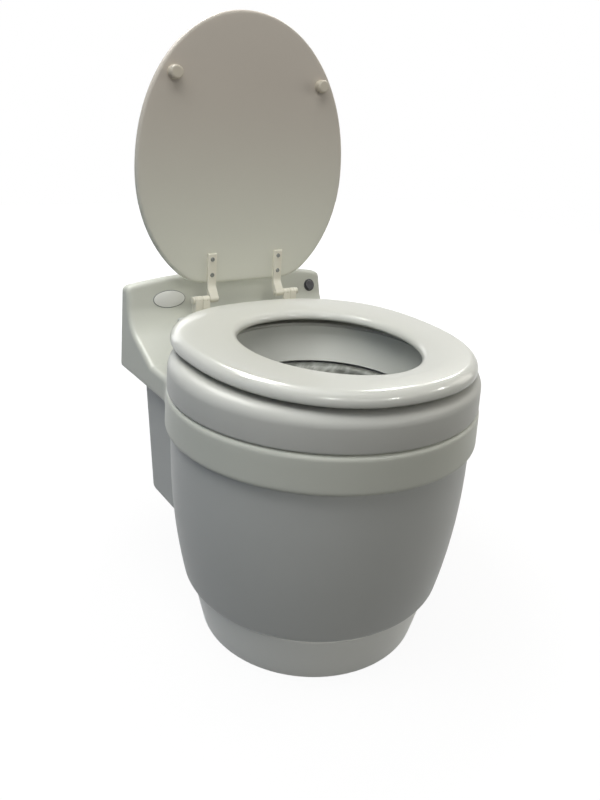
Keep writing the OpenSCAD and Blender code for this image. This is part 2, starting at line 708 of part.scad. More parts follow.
// Half the angle of a tooth at radius r, for a gear of this pitch radius and number of teeth
function tooth_half(r, pitch_r, teeth) = 90 / teeth - backlash / pitch_r * 180 / PI + involute(pressure)
    - involute(acos(min(1, pitch_r * cos(pressure) / r)));
function gear_points(teeth) = let (p = gear_module * teeth / 2,
    radii = [p - 1.25 * gear_module, p - 0.3 * gear_module, p + 0.4 * gear_module, p + gear_module])
    [for (i = [0:teeth - 1], k = [-4, -3, -2, -1, 1, 2, 3, 4])
        let (r = radii[k < 0 ? 4 + k : 4 - k], h = tooth_half(r, p, teeth),
            a = i * 360 / teeth + (k < 0 ? -h : h)) [r * cos(a), r * sin(a)]];
dog_r = core_out_r + 18;
module turntable() color([0.88, 0.88, 0.86]) difference() {
    union() {
        translate([0, 0, table_z]) rotate([0, 0, gear_dir]) linear_extrude(gear_t)
            polygon(gear_points(table_teeth));
        ring_of(3, dog_r, 0) translate([-4, -6, table_z + gear_t - 0.5]) cube([8, 12, 6.5]);
    }
    translate([0, 0, table_z - eps]) cylinder(r = table_bore_r, h = gear_t + 2 * eps);
}
module drive_pinion() color([0.92, 0.90, 0.82]) rotate([0, 0, gear_dir]) translate([pinion_at, 0, table_z])
    difference() {
        union() {
            rotate([0, 0, 180 + 180 / pinion_teeth]) linear_extrude(gear_t) polygon(gear_points(pinion_teeth));
            translate([0, 0, gear_t - 0.5]) cylinder(r = 8, h = 4.5);
        }
        translate([0, 0, -eps]) cylinder(r = shaft_r + 0.05, h = gear_t + 4);
    }
module drive_motor() color([0.55, 0.56, 0.58]) rotate([0, 0, gear_dir]) translate([pinion_at, 0, 0]) {
    difference() {
        union() {
            translate([0, 0, deck_under_z - 20]) cylinder(r = motor_r, h = 20);
            translate([0, 0, deck_under_z - motor_l]) cylinder(r = motor_r - 2.5, h = motor_l - 15);
            translate([0, 0, deck_under_z - 1]) cylinder(r = 6, h = deck_t + 1);
        }
        ring_of(2, 13, 0) translate([0, 0, deck_under_z - 6]) cylinder(r = 1.3, h = 8, $fn = 32);
    }
    translate([0, 0, deck_under_z]) cylinder(r = shaft_r, h = table_z + gear_t - deck_under_z);
    translate([0, 0, deck_under_z - motor_l - 3]) cylinder(r = 4, h = 4);
}

// Liner cartridge
magazine_z = table_z + gear_t + gap;
core_lip_z = magazine_z + magazine_h + 6;
magazine_in_r = core_out_r + gap;
module cartridge_magazine() color([0.90, 0.91, 0.92]) difference() {
    rotate_extrude() polygon([
        [magazine_in_r, magazine_z], [magazine_r - 2, magazine_z], [magazine_r, magazine_z + 2],
        [magazine_r, magazine_z + magazine_h], [magazine_r - magazine_wall - 3, magazine_z + magazine_h],
        [magazine_r - magazine_wall - 3, magazine_z + magazine_h - magazine_wall],
        [magazine_r - magazine_wall, magazine_z + magazine_h - magazine_wall],
        [magazine_r - magazine_wall, magazine_z + 8], [magazine_in_r + magazine_wall, magazine_z + 8],
        [magazine_in_r + magazine_wall, magazine_z + magazine_h - 4],
        [magazine_in_r, magazine_z + magazine_h - 4]
    ]);
    ring_of(3, dog_r, 0) translate([-4.3, -6.3, magazine_z - eps]) cube([8.6, 12.6, 7.5]);
}
module cartridge_core() color([0.93, 0.93, 0.93]) rotate_extrude() polygon(concat(
    [[core_r, deck_z + 1], [core_out_r, deck_z + 1], [core_out_r, core_lip_z - 6]],
    [[core_out_r + 3, core_lip_z - 2], [core_out_r + 3, core_lip_z], [core_r + 1, core_lip_z],
     [core_r, core_lip_z - 1]]));
// Folded liner stored in the magazine, with its pleats as shallow steps
pack_z = magazine_z + 8 + gap;
pack_h = magazine_h - 20;
pleats = 9;
pleat_d = 1.5;
pack_gap = 1;
module liner_pack() color([0.80, 0.81, 0.83]) rotate_extrude() polygon(concat(
    [for (i = [0:2 * pleats]) [magazine_r - magazine_wall - pack_gap - (i % 2) * pleat_d,
        pack_z + pack_h * i / (2 * pleats)]],
    [for (i = [2 * pleats:-1:0]) [magazine_in_r + magazine_wall + pack_gap + (i % 2) * pleat_d,
        pack_z + pack_h * i / (2 * pleats)]]));
// Film over the lip of the core and down into a bag with a round bottom
film_r = core_r - gap;
bag_h = 60;
bag_mid_z = liner_bottom_z + bag_h;
bag_in = 4;
hem = 6;
module liner_film() color([0.75, 0.76, 0.78]) rotate_extrude() polygon(concat(
    [[core_out_r + hem, core_lip_z - 8], [core_out_r + hem, core_lip_z + gap + film_t],
     [film_r - film_t, core_lip_z + gap + film_t], [film_r - film_t, deck_z]],
    [for (i = [0:8]) let (a = 90 * i / 8)
        [(film_r - film_t - bag_in) * cos(a), bag_mid_z - (bag_h - film_t) * sin(a)]],
    [for (i = [8:-1:0]) let (a = 90 * i / 8) [(film_r - bag_in) * cos(a), bag_mid_z - bag_h * sin(a)]],
    [[film_r, deck_z], [film_r, core_lip_z + gap], [core_out_r + hem - film_t, core_lip_z + gap],
     [core_out_r + hem - film_t, core_lip_z - 8]]));

// Blower under the deck
fan_wall = 2;
fan_z = deck_under_z - blower_h;
module fan_housing() color([0.15, 0.15, 0.16]) translate([blower_at[0], blower_at[1], fan_z]) difference() {
    union() {
        cylinder(r = blower_r, h = blower_h);
        cube([blower_r, blower_r + 4, blower_h]);
    }
    translate([0, 0, fan_wall]) cylinder(r = blower_r - fan_wall, h = blower_h - 2 * fan_wall);
    translate([0, 0, -eps]) cylinder(r = blower_r * 0.5, h = blower_h / 2);
    translate([fan_wall + 6, 0, fan_wall])
        cube([blower_r - 2 * fan_wall - 6, blower_r + 10, blower_h - 2 * fan_wall]);
}
fan_shaft_r = 1.5;
module fan_motor() color([0.45, 0.46, 0.48]) translate([blower_at[0], blower_at[1], fan_z]) {
    translate([0, 0, blower_h - fan_wall - 4]) cylinder(r = 9, h = 4);
    translate([0, 0, fan_wall + 2]) cylinder(r = fan_shaft_r, h = blower_h - 8);
}
blades = 14;
module fan_impeller() color([0.2, 0.2, 0.22]) translate([blower_at[0], blower_at[1], fan_z + fan_wall + 1])
    difference() {
        union() {
            cylinder(r = 6, h = blower_h - 2 * fan_wall - 7);
            translate([0, 0, blower_h - 2 * fan_wall - 8]) cylinder(r = blower_r - fan_wall - 3, h = 1.5);
            ring_of(blades, blower_r - fan_wall - 10, 0) rotate([0, 0, 35])
                translate([-6, -0.6, 0]) cube([11, 1.2, blower_h - 2 * fan_wall - 7.5]);
        }
        translate([0, 0, -eps]) cylinder(r = fan_shaft_r + 0.05, h = blower_h);
    }

// Bowl ring, skirt and seal, which lift off together with the seat and lid
ring_in_r = ring_r - ring_wall;
seal_r = housing_hole_r + 12;
seal_w = 8;
seal_h = 3;
ring_foot_h = seal_h + 3;
shelf_in_y = ring_mouth_r + 2;
shelf_corner_r = 8;
module shelf_block() {
    translate([-shelf_w / 2, shelf_in_y, ring_top_z - shelf_t])
        cube([shelf_w, shelf_y - shelf_corner_r - shelf_in_y, shelf_t]);
    translate([-shelf_w / 2 + shelf_corner_r, shelf_in_y, ring_top_z - shelf_t])
        cube([shelf_w - 2 * shelf_corner_r, shelf_y - shelf_in_y, shelf_t]);
    both_sides() translate([shelf_w / 2 - shelf_corner_r, shelf_y - shelf_corner_r, ring_top_z - shelf_t])
        cylinder(r = shelf_corner_r, h = shelf_t);
}
post_x = hinge_x + arm_w + knuckle_gap + knuckle_w + knuckle_gap + knuckle_w / 2;
stud_r = 4;
module bowl_ring() color([0.87, 0.89, 0.88]) difference() {
    union() {
        rotate_extrude($fn = 128) polygon(concat(
            [[ring_in_r, ring_z], [ring_r - 2, ring_z], [ring_r, ring_z + 2]],
            arc([ring_r - ring_round, ring_top_z - ring_round], ring_round, 0, 90, 8),
            [[ring_mouth_r + 2, ring_top_z], [ring_mouth_r, ring_top_z - 2], [ring_mouth_r, ring_top_z - 8],
             [ring_mouth_r + 3, ring_top_z - 8], [ring_mouth_r + 3, ring_top_z - ring_wall]],
            arc([ring_r - ring_round, ring_top_z - ring_round], ring_round - ring_wall, 90, 0, 8)));
        difference() {
            shelf_block();
            translate([0, 0, ring_z]) cylinder(r = ring_in_r - 1, h = ring_h - ring_wall, $fn = 128);
            translate([0, 0, ring_z - eps]) cylinder(r = ring_r - ring_round, h = ring_h + 2 * eps, $fn = 128);
        }
        // Foot under the ring that stands on the deck of the housing
        translate([0, 0, ring_z]) difference() {
            cylinder(r = ring_in_r + 0.5, h = ring_foot_h, $fn = 128);
            translate([0, 0, -eps]) cylinder(r = seal_r - seal_w / 2 - 3, h = ring_foot_h + 2 * eps, $fn = 128);
        }
    }
    translate([0, 0, ring_z - eps]) difference() {
        cylinder(r = seal_r + seal_w / 2 + 0.1, h = seal_h + eps, $fn = 128);
        translate([0, 0, -eps]) cylinder(r = seal_r - seal_w / 2 - 0.1, h = seal_h + 3 * eps, $fn = 128);
    }
    both_sides() translate([post_x, hinge_y, ring_top_z - shelf_t - eps])
        cylinder(r = stud_r + 0.3, h = shelf_t + 2 * eps);
}
skirt_lip_z = core_lip_z + gap + film_t + 1;
module bowl_skirt() color([0.74, 0.75, 0.74]) rotate_extrude($fn = 128) polygon([
    [skirt_lip_r, skirt_lip_z], [skirt_lip_r + skirt_wall, skirt_lip_z],
    [ring_mouth_r - 1, ring_top_z - 14], [ring_mouth_r + 12, ring_top_z - 14],
    [ring_mouth_r + 12, ring_top_z - 11], [ring_mouth_r - 0.3, ring_top_z - 11],
    [ring_mouth_r - 0.3, ring_top_z - 3], [ring_mouth_r - skirt_wall - 0.3, ring_top_z - 3],
    [ring_mouth_r - skirt_wall - 2, ring_top_z - 14]
]);
module rim_seal() color([0.25, 0.25, 0.26]) translate([0, 0, band_top_z]) rotate_extrude($fn = 128) polygon([
    [seal_r - seal_w / 2 + 1, 0], [seal_r + seal_w / 2 - 1, 0], [seal_r + seal_w / 2, 1],
    [seal_r + seal_w / 2, seal_h + gap], [seal_r - seal_w / 2, seal_h + gap], [seal_r - seal_w / 2, 1]
]);

// Seat and lid hinges
foot_t = 3;
module hinge_bar(x0, w, r) translate([x0, 0, 0]) rotate([0, 90, 0]) cylinder(r = r, h = w, $fn = 64);
leaf_x = hinge_x + arm_w + knuckle_gap;
post_x0 = leaf_x + knuckle_w + knuckle_gap;
axis_up = hinge_z - ring_top_z;
module hinge_posts() color([0.93, 0.91, 0.83]) both_sides() translate([0, hinge_y, hinge_z]) difference() {
    union() {
        hinge_bar(post_x0, knuckle_w, knuckle_r);
        translate([post_x0, -knuckle_r, -axis_up]) cube([knuckle_w, 2 * knuckle_r, axis_up]);
        translate([post_x0, -10, -axis_up]) cube([knuckle_w + 8, 20, foot_t]);
        translate([post_x, 0, -axis_up - shelf_t - 16]) cylinder(r = stud_r, h = shelf_t + 17);
    }
    hinge_bar(post_x0 - eps, knuckle_w + 2 * eps, pin_r + 0.02);
}
module hinge_nuts() color([0.90, 0.89, 0.84]) both_sides()
    translate([post_x, hinge_y, ring_top_z - shelf_t - 9]) difference() {
        union() {
            cylinder(r = 8, h = 9);
            translate([-15, -2, 0]) cube([30, 4, 7]);
        }
        translate([0, 0, -eps]) cylinder(r = stud_r + 0.1, h = 12);
    }
module hinge_pins() color([0.92, 0.91, 0.86]) both_sides() translate([0, hinge_y, hinge_z]) {
    hinge_bar(hinge_x - 1.5, post_x0 + knuckle_w - hinge_x + 2.5, pin_r);
    hinge_bar(post_x0 + knuckle_w + 0.2, 3, knuckle_r - 0.6);
}

// Outline of the seat or lid at angle u, with unequal reaches in front and behind
function sgn_pow(v, n) = sign(v) * pow(abs(v), 2 / n);
function outline(u, a, front, rear, mid, n) = [a * sgn_pow(cos(u), n),
    mid + (sin(u) < 0 ? front : rear) * sgn_pow(sin(u), n)];
seat_sides = 72;
function seat_outer(u) = outline(u, seat_a, seat_front, seat_rear, seat_mid_y, seat_n);
function seat_hole(u) = outline(u, hole_a, hole_front, hole_rear, hole_mid_y, seat_n);
hole_edge_r = 7;
// Section of the seat as [from outer edge, distance in from that edge, height]
seat_roll = min(seat_edge_r, seat_t - 5);
seat_section = concat(
    [[0, 2, 0], [0, 0, 2]],
    [for (a = [0, 30, 60, 90]) [0, hole_edge_r * (1 - cos(a)), seat_t - 2 - hole_edge_r * (1 - sin(a))]],
    [[0, 24, seat_t - 0.2], [1, 30, seat_t]],
    [for (a = [90, 67.5, 45, 22.5, 0])
        [1, seat_roll * (1 - cos(a)), seat_t - 1.5 - seat_roll * (1 - sin(a))]],
    [[1, 0, 3], [1, 3, 0]]);
function seat_point(u, s) = let (a = seat_hole(u), b = seat_outer(u), d = (b - a) / norm(b - a),
    p = s[0] == 0 ? a + d * s[1] : b - d * s[1]) [p[0], p[1], seat_z + s[2]];
function band_faces(rows, cols) = [for (i = [0:rows - 1], j = [0:cols - 1])
    let (k = (j + 1) % cols, m = (i + 1) % rows) each [[i * cols + j, m * cols + j, m * cols + k],
        [i * cols + j, m * cols + k, i * cols + k]]];
leaf_reach = 46;
leaf_front_y = seat_mid_y + seat_rear - leaf_reach;
leaf_screws = [[leaf_x + knuckle_w / 2, leaf_front_y + 9], [leaf_x + knuckle_w / 2, leaf_front_y + 26]];
// Bumpers under the seat, at these angles and this share of the way from its hole to its edge
bumper_share = 0.6;
bumper_at = [for (u = [15, -45]) seat_hole(u) * (1 - bumper_share) + seat_outer(u) * bumper_share];
bumper_r = 9;
module seat_ring() color([0.93, 0.92, 0.88]) difference() {
    polyhedron(points = [for (s = seat_section, j = [0:seat_sides - 1]) seat_point(j * 360 / seat_sides, s)],
        faces = band_faces(len(seat_section), seat_sides), convexity = 6);
    both_sides() {
        for (p = leaf_screws) translate([p[0], p[1], seat_z - eps]) cylinder(r = screw_r, h = 12, $fn = 32);
        for (p = bumper_at) translate([p[0], p[1], seat_z - eps]) cylinder(r = 3, h = 7, $fn = 32);
    }
}
module seat_bumpers() color([0.88, 0.87, 0.83]) both_sides() for (p = bumper_at)
    translate([p[0], p[1], ring_top_z + gap]) rotate_extrude() polygon([[0, 0], [bumper_r - 1.5, 0],
        [bumper_r, 1.5], [bumper_r - 0.5, bumper_h], [2.9, bumper_h],
        [2.9, bumper_h + 5.5], [0, bumper_h + 5.5]]);
leaf_t = 3;
leaf_back = 1.4;
module seat_leaves() color([0.93, 0.91, 0.83]) both_sides() difference() {
    translate([0, hinge_y, hinge_z]) union() {
        hinge_bar(leaf_x, knuckle_w, knuckle_r);
        translate([leaf_x, -knuckle_r, seat_z - leaf_t - hinge_z])
            cube([knuckle_w, arm_t - 0.8, hinge_z - seat_z + leaf_t]);
        translate([leaf_x, leaf_front_y - hinge_y, seat_z - leaf_t - hinge_z])
            cube([knuckle_w, hinge_y - leaf_front_y - knuckle_r + leaf_back, leaf_t]);
    }
    translate([0, hinge_y, hinge_z]) hinge_bar(leaf_x - eps, knuckle_w + 2 * eps, pin_r + pin_gap);
    for (p = leaf_screws) translate([p[0], p[1], seat_z - leaf_t - eps])
        cylinder(r = screw_r + 0.2, h = leaf_t + 2 * eps, $fn = 32);
}
module seat_leaf_screws() color([0.65, 0.65, 0.66]) both_sides() for (p = leaf_screws)
    translate([p[0], p[1], seat_z - leaf_t]) rotate([180, 0, 0]) screw(screw_r - 0.05, 12, 3.6, 2);

// Lid in its own frame: the hinge axis is X, and the open lid stands up along Z
module lid_frame() translate([0, hinge_y, hinge_z]) rotate([-lid_lean, 0, 0]) children();
lid_sides = 72;
lid_edge_r = 4;
lid_section = concat(
    [for (a = [0, 45, 90]) [lid_edge_r * (1 - sin(a)), lid_edge_r * (1 - cos(a))]],
    [for (a = [90, 45, 0]) [lid_edge_r * (1 - sin(a)), lid_t - lid_edge_r * (1 - cos(a))]]);
// The larger of two values, with a soft change from one to the other
function soft_max(a, b, r) = max(a, b) + pow(max(r - abs(a - b), 0), 2) / (4 * r);
function lid_point(u, s) = let (p = outline(u, lid_a - s[0], lid_down - s[0], lid_up - s[0], lid_mid, lid_n))
    [p[0], lid_offset + s[1], soft_max(p[1], lid_foot + s[0], lid_foot_r)];
lid_rows = len(lid_section);
lid_faces = concat(
    [for (i = [0:lid_rows - 2], j = [0:lid_sides - 1]) let (k = (j + 1) % lid_sides)
        each [[i * lid_sides + j, (i + 1) * lid_sides + k, (i + 1) * lid_sides + j],
            [i * lid_sides + j, i * lid_sides + k, (i + 1) * lid_sides + k]]],
    [[for (j = [lid_sides - 1:-1:0]) j]], [[for (j = [0:lid_sides - 1]) (lid_rows - 1) * lid_sides + j]]);
arm_screw_up = [arm_h - 9, arm_h - 33];
arm_screw_x = hinge_x + arm_w / 2;
module lid_panel() color([0.72, 0.73, 0.68]) lid_frame() difference() {
    polyhedron(points = [for (s = lid_section, j = [0:lid_sides - 1]) lid_point(j * 360 / lid_sides, s)],
        faces = lid_faces, convexity = 4);
    both_sides() {
        for (z = arm_screw_up) translate([arm_screw_x, lid_offset - eps, z]) rotate([-90, 0, 0])
            cylinder(r = screw_r, h = 9, $fn = 32);
        translate([lid_bumper_x, lid_offset - eps, lid_bumper_up]) rotate([-90, 0, 0])
            cylinder(r = 3, h = 7, $fn = 32);
    }
}
lid_bumper_h = lid_offset + hinge_up - gap;
module lid_bumpers() color([0.90, 0.89, 0.86]) lid_frame() both_sides()
    translate([lid_bumper_x, lid_offset, lid_bumper_up]) rotate([90, 0, 0]) rotate_extrude() polygon(concat(
        [[0, -5.5], [2.9, -5.5], [2.9, 0], [lid_bumper_r, 0]],
        arc([lid_bumper_r - 3, lid_bumper_h - 3], 3, 0, 90, 4), [[0, lid_bumper_h]]));
// Arm seen from the side: a strip on the lid that bends forward to its knuckle
arm_back = lid_offset;
arm_front = lid_offset - arm_t;
module lid_arms() color([0.94, 0.92, 0.85]) lid_frame() both_sides() difference() {
    union() {
        hinge_bar(hinge_x, arm_w, knuckle_r);
        translate([hinge_x, 0, 0]) rotate([90, 0, 90]) linear_extrude(arm_w) polygon(concat(
            [[-knuckle_r * 0.9, knuckle_r * 0.4], [knuckle_r * 0.4, -knuckle_r * 0.9], [arm_back * 0.8, 6],
             [arm_back, 14]],
            [[arm_back, arm_h - 1], [arm_back - 1, arm_h], [arm_front + 1.5, arm_h], [arm_front, arm_h - 1.5]],
            [[arm_front, 22], [arm_front - 1, 16], [arm_front - 4, 11]]));
    }
    hinge_bar(hinge_x - eps, arm_w + 2 * eps, pin_r + pin_gap);
    for (z = arm_screw_up) translate([arm_screw_x, 0, z]) rotate([-90, 0, 0])
        cylinder(r = screw_r + 0.2, h = 20, $fn = 32);
}
module lid_arm_screws() color([0.55, 0.56, 0.54]) lid_frame() both_sides() for (z = arm_screw_up)
    translate([arm_screw_x, arm_front, z]) rotate([90, 0, 0]) screw(screw_r - 0.05, 11, 3.4, 1.4);

base_plinth();
base_screws();
body_shell();
upper_housing();
rear_cover();
rear_cover_screws();
battery_pack();
battery_strap();
control_board();
drive_deck();
deck_screws();
glide_pads();
drive_motor();
drive_pinion();
turntable();
cartridge_magazine();
cartridge_core();
liner_pack();
liner_film();
fan_housing();
fan_motor();
fan_impeller();
charge_jack();
bowl_ring();
bowl_skirt();
rim_seal();
hinge_posts();
hinge_nuts();
hinge_pins();
seat_ring();
seat_bumpers();
seat_leaves();
seat_leaf_screws();
lid_panel();
lid_bumpers();
lid_arms();
lid_arm_screws();
flush_bezel();
flush_button();
flush_switch();
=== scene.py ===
"""Looks of a dry flush toilet: every shell, seat, hinge and film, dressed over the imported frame.

Metres. The origin is the centre of the underside of the base, +Z is up, -Y is the front
and +X is the side of the flush button.
"""

import logging
import math
from dataclasses import dataclass
from enum import Enum
from itertools import pairwise
from typing import Callable, Optional, Sequence

import bmesh
import bpy
import numpy as np
from mathutils import Matrix, Vector, noise


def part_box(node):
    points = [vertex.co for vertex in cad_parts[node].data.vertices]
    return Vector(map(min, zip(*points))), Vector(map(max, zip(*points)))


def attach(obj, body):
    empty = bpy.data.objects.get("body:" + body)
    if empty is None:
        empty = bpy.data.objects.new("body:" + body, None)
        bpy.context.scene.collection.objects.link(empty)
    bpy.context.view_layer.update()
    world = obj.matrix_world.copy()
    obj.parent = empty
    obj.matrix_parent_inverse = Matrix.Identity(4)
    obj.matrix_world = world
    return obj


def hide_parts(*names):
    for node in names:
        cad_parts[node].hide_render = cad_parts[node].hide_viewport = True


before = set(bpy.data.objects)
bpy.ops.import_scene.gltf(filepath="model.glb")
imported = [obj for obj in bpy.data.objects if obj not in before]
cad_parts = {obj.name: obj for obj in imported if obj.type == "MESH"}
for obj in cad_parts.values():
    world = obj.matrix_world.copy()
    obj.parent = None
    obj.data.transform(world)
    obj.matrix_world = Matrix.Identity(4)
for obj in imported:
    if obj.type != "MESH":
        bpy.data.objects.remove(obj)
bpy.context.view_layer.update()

Point = tuple[float, float, float]
Flat = tuple[float, float]
Skin = Callable[[np.ndarray], np.ndarray]
Place = Callable[[np.ndarray, np.ndarray], np.ndarray]
Socket = bpy.types.NodeSocket

LOG = logging.getLogger("toilet")
ORIGIN = (0.0, 0.0, 0.0)
HINGE_AXIS = (0.2146, 0.3991)  # Y and Z of the line that the seat and the lid turn on
LID_LEAN = math.radians(1.2)
LID_OFFSET = 0.010  # From the hinge axis back to the inner face of the open lid
LEVEL = 0.7  # A face lies level where its normal's Z is past this
NEAR = 0.002  # A face this close to a height belongs to it
RIM_ZONE = 0.02  # Points up to this far over a lower rim belong to it


class Body(Enum):
    """The bodies that the new pieces ride on."""

    HOUSING = "housing"
    TURNTABLE = "turntable"
    SHROUD = "shroud"
    SEAT = "seat"
    LID = "lid"


# Drawing and shaping

def low(node: str) -> Vector:
    """Lowest corner of a construction node."""
    return Vector(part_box(node)[0])


def high(node: str) -> Vector:
    """Highest corner of a construction node."""
    return Vector(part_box(node)[1])


def rest() -> None:
    """Leaves edit mode and deselects every object."""
    active = bpy.context.view_layer.objects.active
    if active and active.mode != "OBJECT":
        bpy.ops.object.mode_set(mode="OBJECT")
    bpy.ops.object.select_all(action="DESELECT")


def only(obj: bpy.types.Object) -> None:
    """Selects one object and makes it active.

    Args:
        obj: The object.
    """
    rest()
    obj.select_set(True)
    bpy.context.view_layer.objects.active = obj


def named(name: str) -> bpy.types.Object:
    """Names the object that an operator has just added.

    Args:
        name: Name of the object and of its data.

    Returns:
        The object.
    """
    obj = bpy.context.view_layer.objects.active
    obj.name = name
    obj.data.name = name
    return obj


def finish_with(obj: bpy.types.Object, kind: str, **settings: object) -> None:
    """Adds a modifier, sets it and applies it.

    Args:
        obj: The piece.
        kind: The modifier's type, such as BEVEL.
        settings: Values of the modifier.
    """
    only(obj)
    modifier = obj.modifiers.new(kind.title(), kind)
    for key, value in settings.items():
        setattr(modifier, key, value)
    bpy.ops.object.modifier_apply(modifier=modifier.name)


def combine(obj: bpy.types.Object, other: bpy.types.Object, operation: str) -> None:
    """Joins or cuts a piece with another one, which is used up."""
    finish_with(obj, "BOOLEAN", operation=operation, object=other, solver="EXACT")
    bpy.data.objects.remove(other, do_unlink=True)


def tidy_mesh(obj: bpy.types.Object, distance: float = 1e-6) -> None:
    """Merges doubled points and turns every face outwards.

    Args:
        obj: The piece.
        distance: Points closer than this become one.
    """
    only(obj)
    bpy.ops.object.mode_set(mode="EDIT")
    bpy.ops.mesh.select_all(action="SELECT")
    bpy.ops.mesh.remove_doubles(threshold=distance)
    bpy.ops.mesh.normals_make_consistent(inside=False)
    bpy.ops.object.mode_set(mode="OBJECT")


def smooth(obj: bpy.types.Object, angle: float = 35.0) -> bpy.types.Object:
    """Shades a piece smooth, with edges over the angle kept crisp.

    Args:
        obj: The piece.
        angle: Smallest turn of a crisp edge, in degrees.

    Returns:
        The same piece.
    """
    only(obj)
    bpy.ops.object.shade_smooth_by_angle(angle=math.radians(angle))
    return obj


def bevel(obj: bpy.types.Object, width: float, segments: int = 3, angle: float = 30.0) -> None:
    """Rounds the edges of a piece that turn by more than the angle."""
    finish_with(obj, "BEVEL", width=width, segments=segments, limit_method="ANGLE",
                angle_limit=math.radians(angle), use_clamp_overlap=True)


def chain(name: str, points: Sequence[Point], closed: bool = False) -> bpy.types.Object:
    """Draws a run of edges by extruding one point from place to place.

    Args:
        name: Name of the new object.
        points: Places of the points, in order.
        closed: Whether the last point joins the first.

    Returns:
        The object, in edit mode, with everything selected.
    """
    rest()
    bpy.ops.mesh.primitive_plane_add(size=0.001, location=ORIGIN)
    obj = named(name)
    bpy.ops.object.mode_set(mode="EDIT")
    bpy.ops.mesh.merge(type="CENTER")
    bpy.ops.transform.translate(value=points[0])
    for start, end in pairwise(points):
        step = tuple(b - a for a, b in zip(start, end))
        bpy.ops.mesh.extrude_vertices_move(TRANSFORM_OT_translate={"value": step})
    if closed:
        edit = bmesh.from_edit_mesh(obj.data)
        edit.verts.ensure_lookup_table()
        for vert in edit.verts:
            vert.select = vert.index in (0, len(edit.verts) - 1)
        edit.select_flush_mode()
        bpy.ops.mesh.edge_face_add()
    bpy.ops.mesh.select_all(action="SELECT")
    return obj


def spun(name: str, profile: Sequence[Flat], steps: int = 160, closed: bool = True) -> bpy.types.Object:
    """Turns a profile of radius and height once round the Z axis.

    Args:
        name: Name of the piece.
        profile: Points of radius and height, in order.
        steps: Number of faces round the axis.
        closed: Whether the profile is a closed outline.

    Returns:
        The piece, in object mode.
    """
    obj = chain(name, [(r, 0.0, z) for r, z in profile], closed)
    bpy.ops.mesh.spin(steps=steps, angle=2 * math.pi, center=ORIGIN, axis=(0.0, 0.0, 1.0))
    tidy_mesh(obj)
    return obj


def cylinder(name: str, sides: int, radius: float, depth: float, center: Point) -> bpy.types.Object:
    """An upright cylinder, with its place in its mesh.

    Args:
        name: Name of the piece.
        sides: Number of faces round it.
        radius: Its radius.
        depth: Its height.
        center: Its middle.

    Returns:
        The cylinder, with its origin at the origin.
    """
    rest()
    bpy.ops.mesh.primitive_cylinder_add(vertices=sides, radius=radius, depth=depth, location=center)
    obj = named(name)
    bpy.ops.object.transform_apply(location=True, rotation=True, scale=True)
    return obj


def pushed(name: str, outline: Sequence[Point], along: Point) -> bpy.types.Object:
    """Fills an outline and extrudes it along a vector.

    Args:
        name: Name of the piece.
        outline: Points of the flat outline, in order.
        along: Vector from one end face to the other.

    Returns:
        The piece, in object mode.
    """
    obj = chain(name, outline, closed=True)
    bpy.ops.mesh.edge_face_add()
    bpy.ops.mesh.extrude_region_move(TRANSFORM_OT_translate={"value": along})
    tidy_mesh(obj)
    return obj


def across(x: float, side: Sequence[Flat]) -> list[Point]:
    """Places in X, Y and Z of an outline drawn from the side."""
    return [(x, y, z) for y, z in side]


def arc(center: Flat, radius: float, start: float, end: float, steps: int) -> list[Flat]:
    """Points along an arc, with its angles in degrees."""
    angles = np.radians(np.linspace(start, end, steps + 1))
    return [(center[0] + radius * math.cos(a), center[1] + radius * math.sin(a)) for a in angles]


def loft(name: str, sides: int, rows: int, place: Place, joined: bool = False) -> bpy.types.Object:
    """Extrudes a circle row by row and puts each point where a formula says.

    Args:
        name: Name of the piece.
        sides: Points in each row.
        rows: Number of rows.
        place: Gives the places of points from their angles and row numbers.
        joined: Whether the last row meets the first, as in a ring.

    Returns:
        The piece, in object mode.
    """
    rest()
    bpy.ops.mesh.primitive_circle_add(vertices=sides, radius=1.0, fill_type="NOTHING", location=ORIGIN)
    obj = named(name)
    bpy.ops.object.mode_set(mode="EDIT")
    for _ in range(rows - 1):
        bpy.ops.mesh.extrude_edges_move(TRANSFORM_OT_translate={"value": (0.0, 0.0, 1.0)})
    if joined:
        edit = bmesh.from_edit_mesh(obj.data)
        for edge in edit.edges:
            edge.select_set(False)
        for edge in edit.edges:
            edge.select_set(edge.is_boundary)
        edit.select_flush_mode()
        bpy.ops.mesh.bridge_edge_loops()
    bpy.ops.object.mode_set(mode="OBJECT")
    spots = points_of(obj)
    angles = np.arctan2(spots[:, 1], spots[:, 0])
    put_points(obj, place(angles, np.rint(spots[:, 2]).astype(int)))
    return obj


def points_of(obj: bpy.types.Object) -> np.ndarray:
    """Places of a mesh's points, one row each.

    Args:
        obj: The piece.

    Returns:
        An array with three columns.
    """
    spots = np.empty(len(obj.data.vertices) * 3)
    obj.data.vertices.foreach_get("co", spots)
    return spots.reshape(-1, 3)


def put_points(obj: bpy.types.Object, spots: np.ndarray) -> None:
    """Moves a mesh's points to new places."""
    obj.data.vertices.foreach_set("co", spots.ravel())
    obj.data.update()


def round_max(a: np.ndarray, b: np.ndarray, radius: float) -> np.ndarray:
    """Distance to what two shapes share, with the edge between them rounded."""
    corner = np.hypot(np.maximum(a + radius, 0.0), np.maximum(b + radius, 0.0))
    return np.minimum(np.maximum(a, b), -radius) + corner


def round_min(a: np.ndarray, b: np.ndarray, radius: float) -> np.ndarray:
    """Distance to two shapes joined, with a fillet between them."""
    return -round_max(-a, -b, radius)


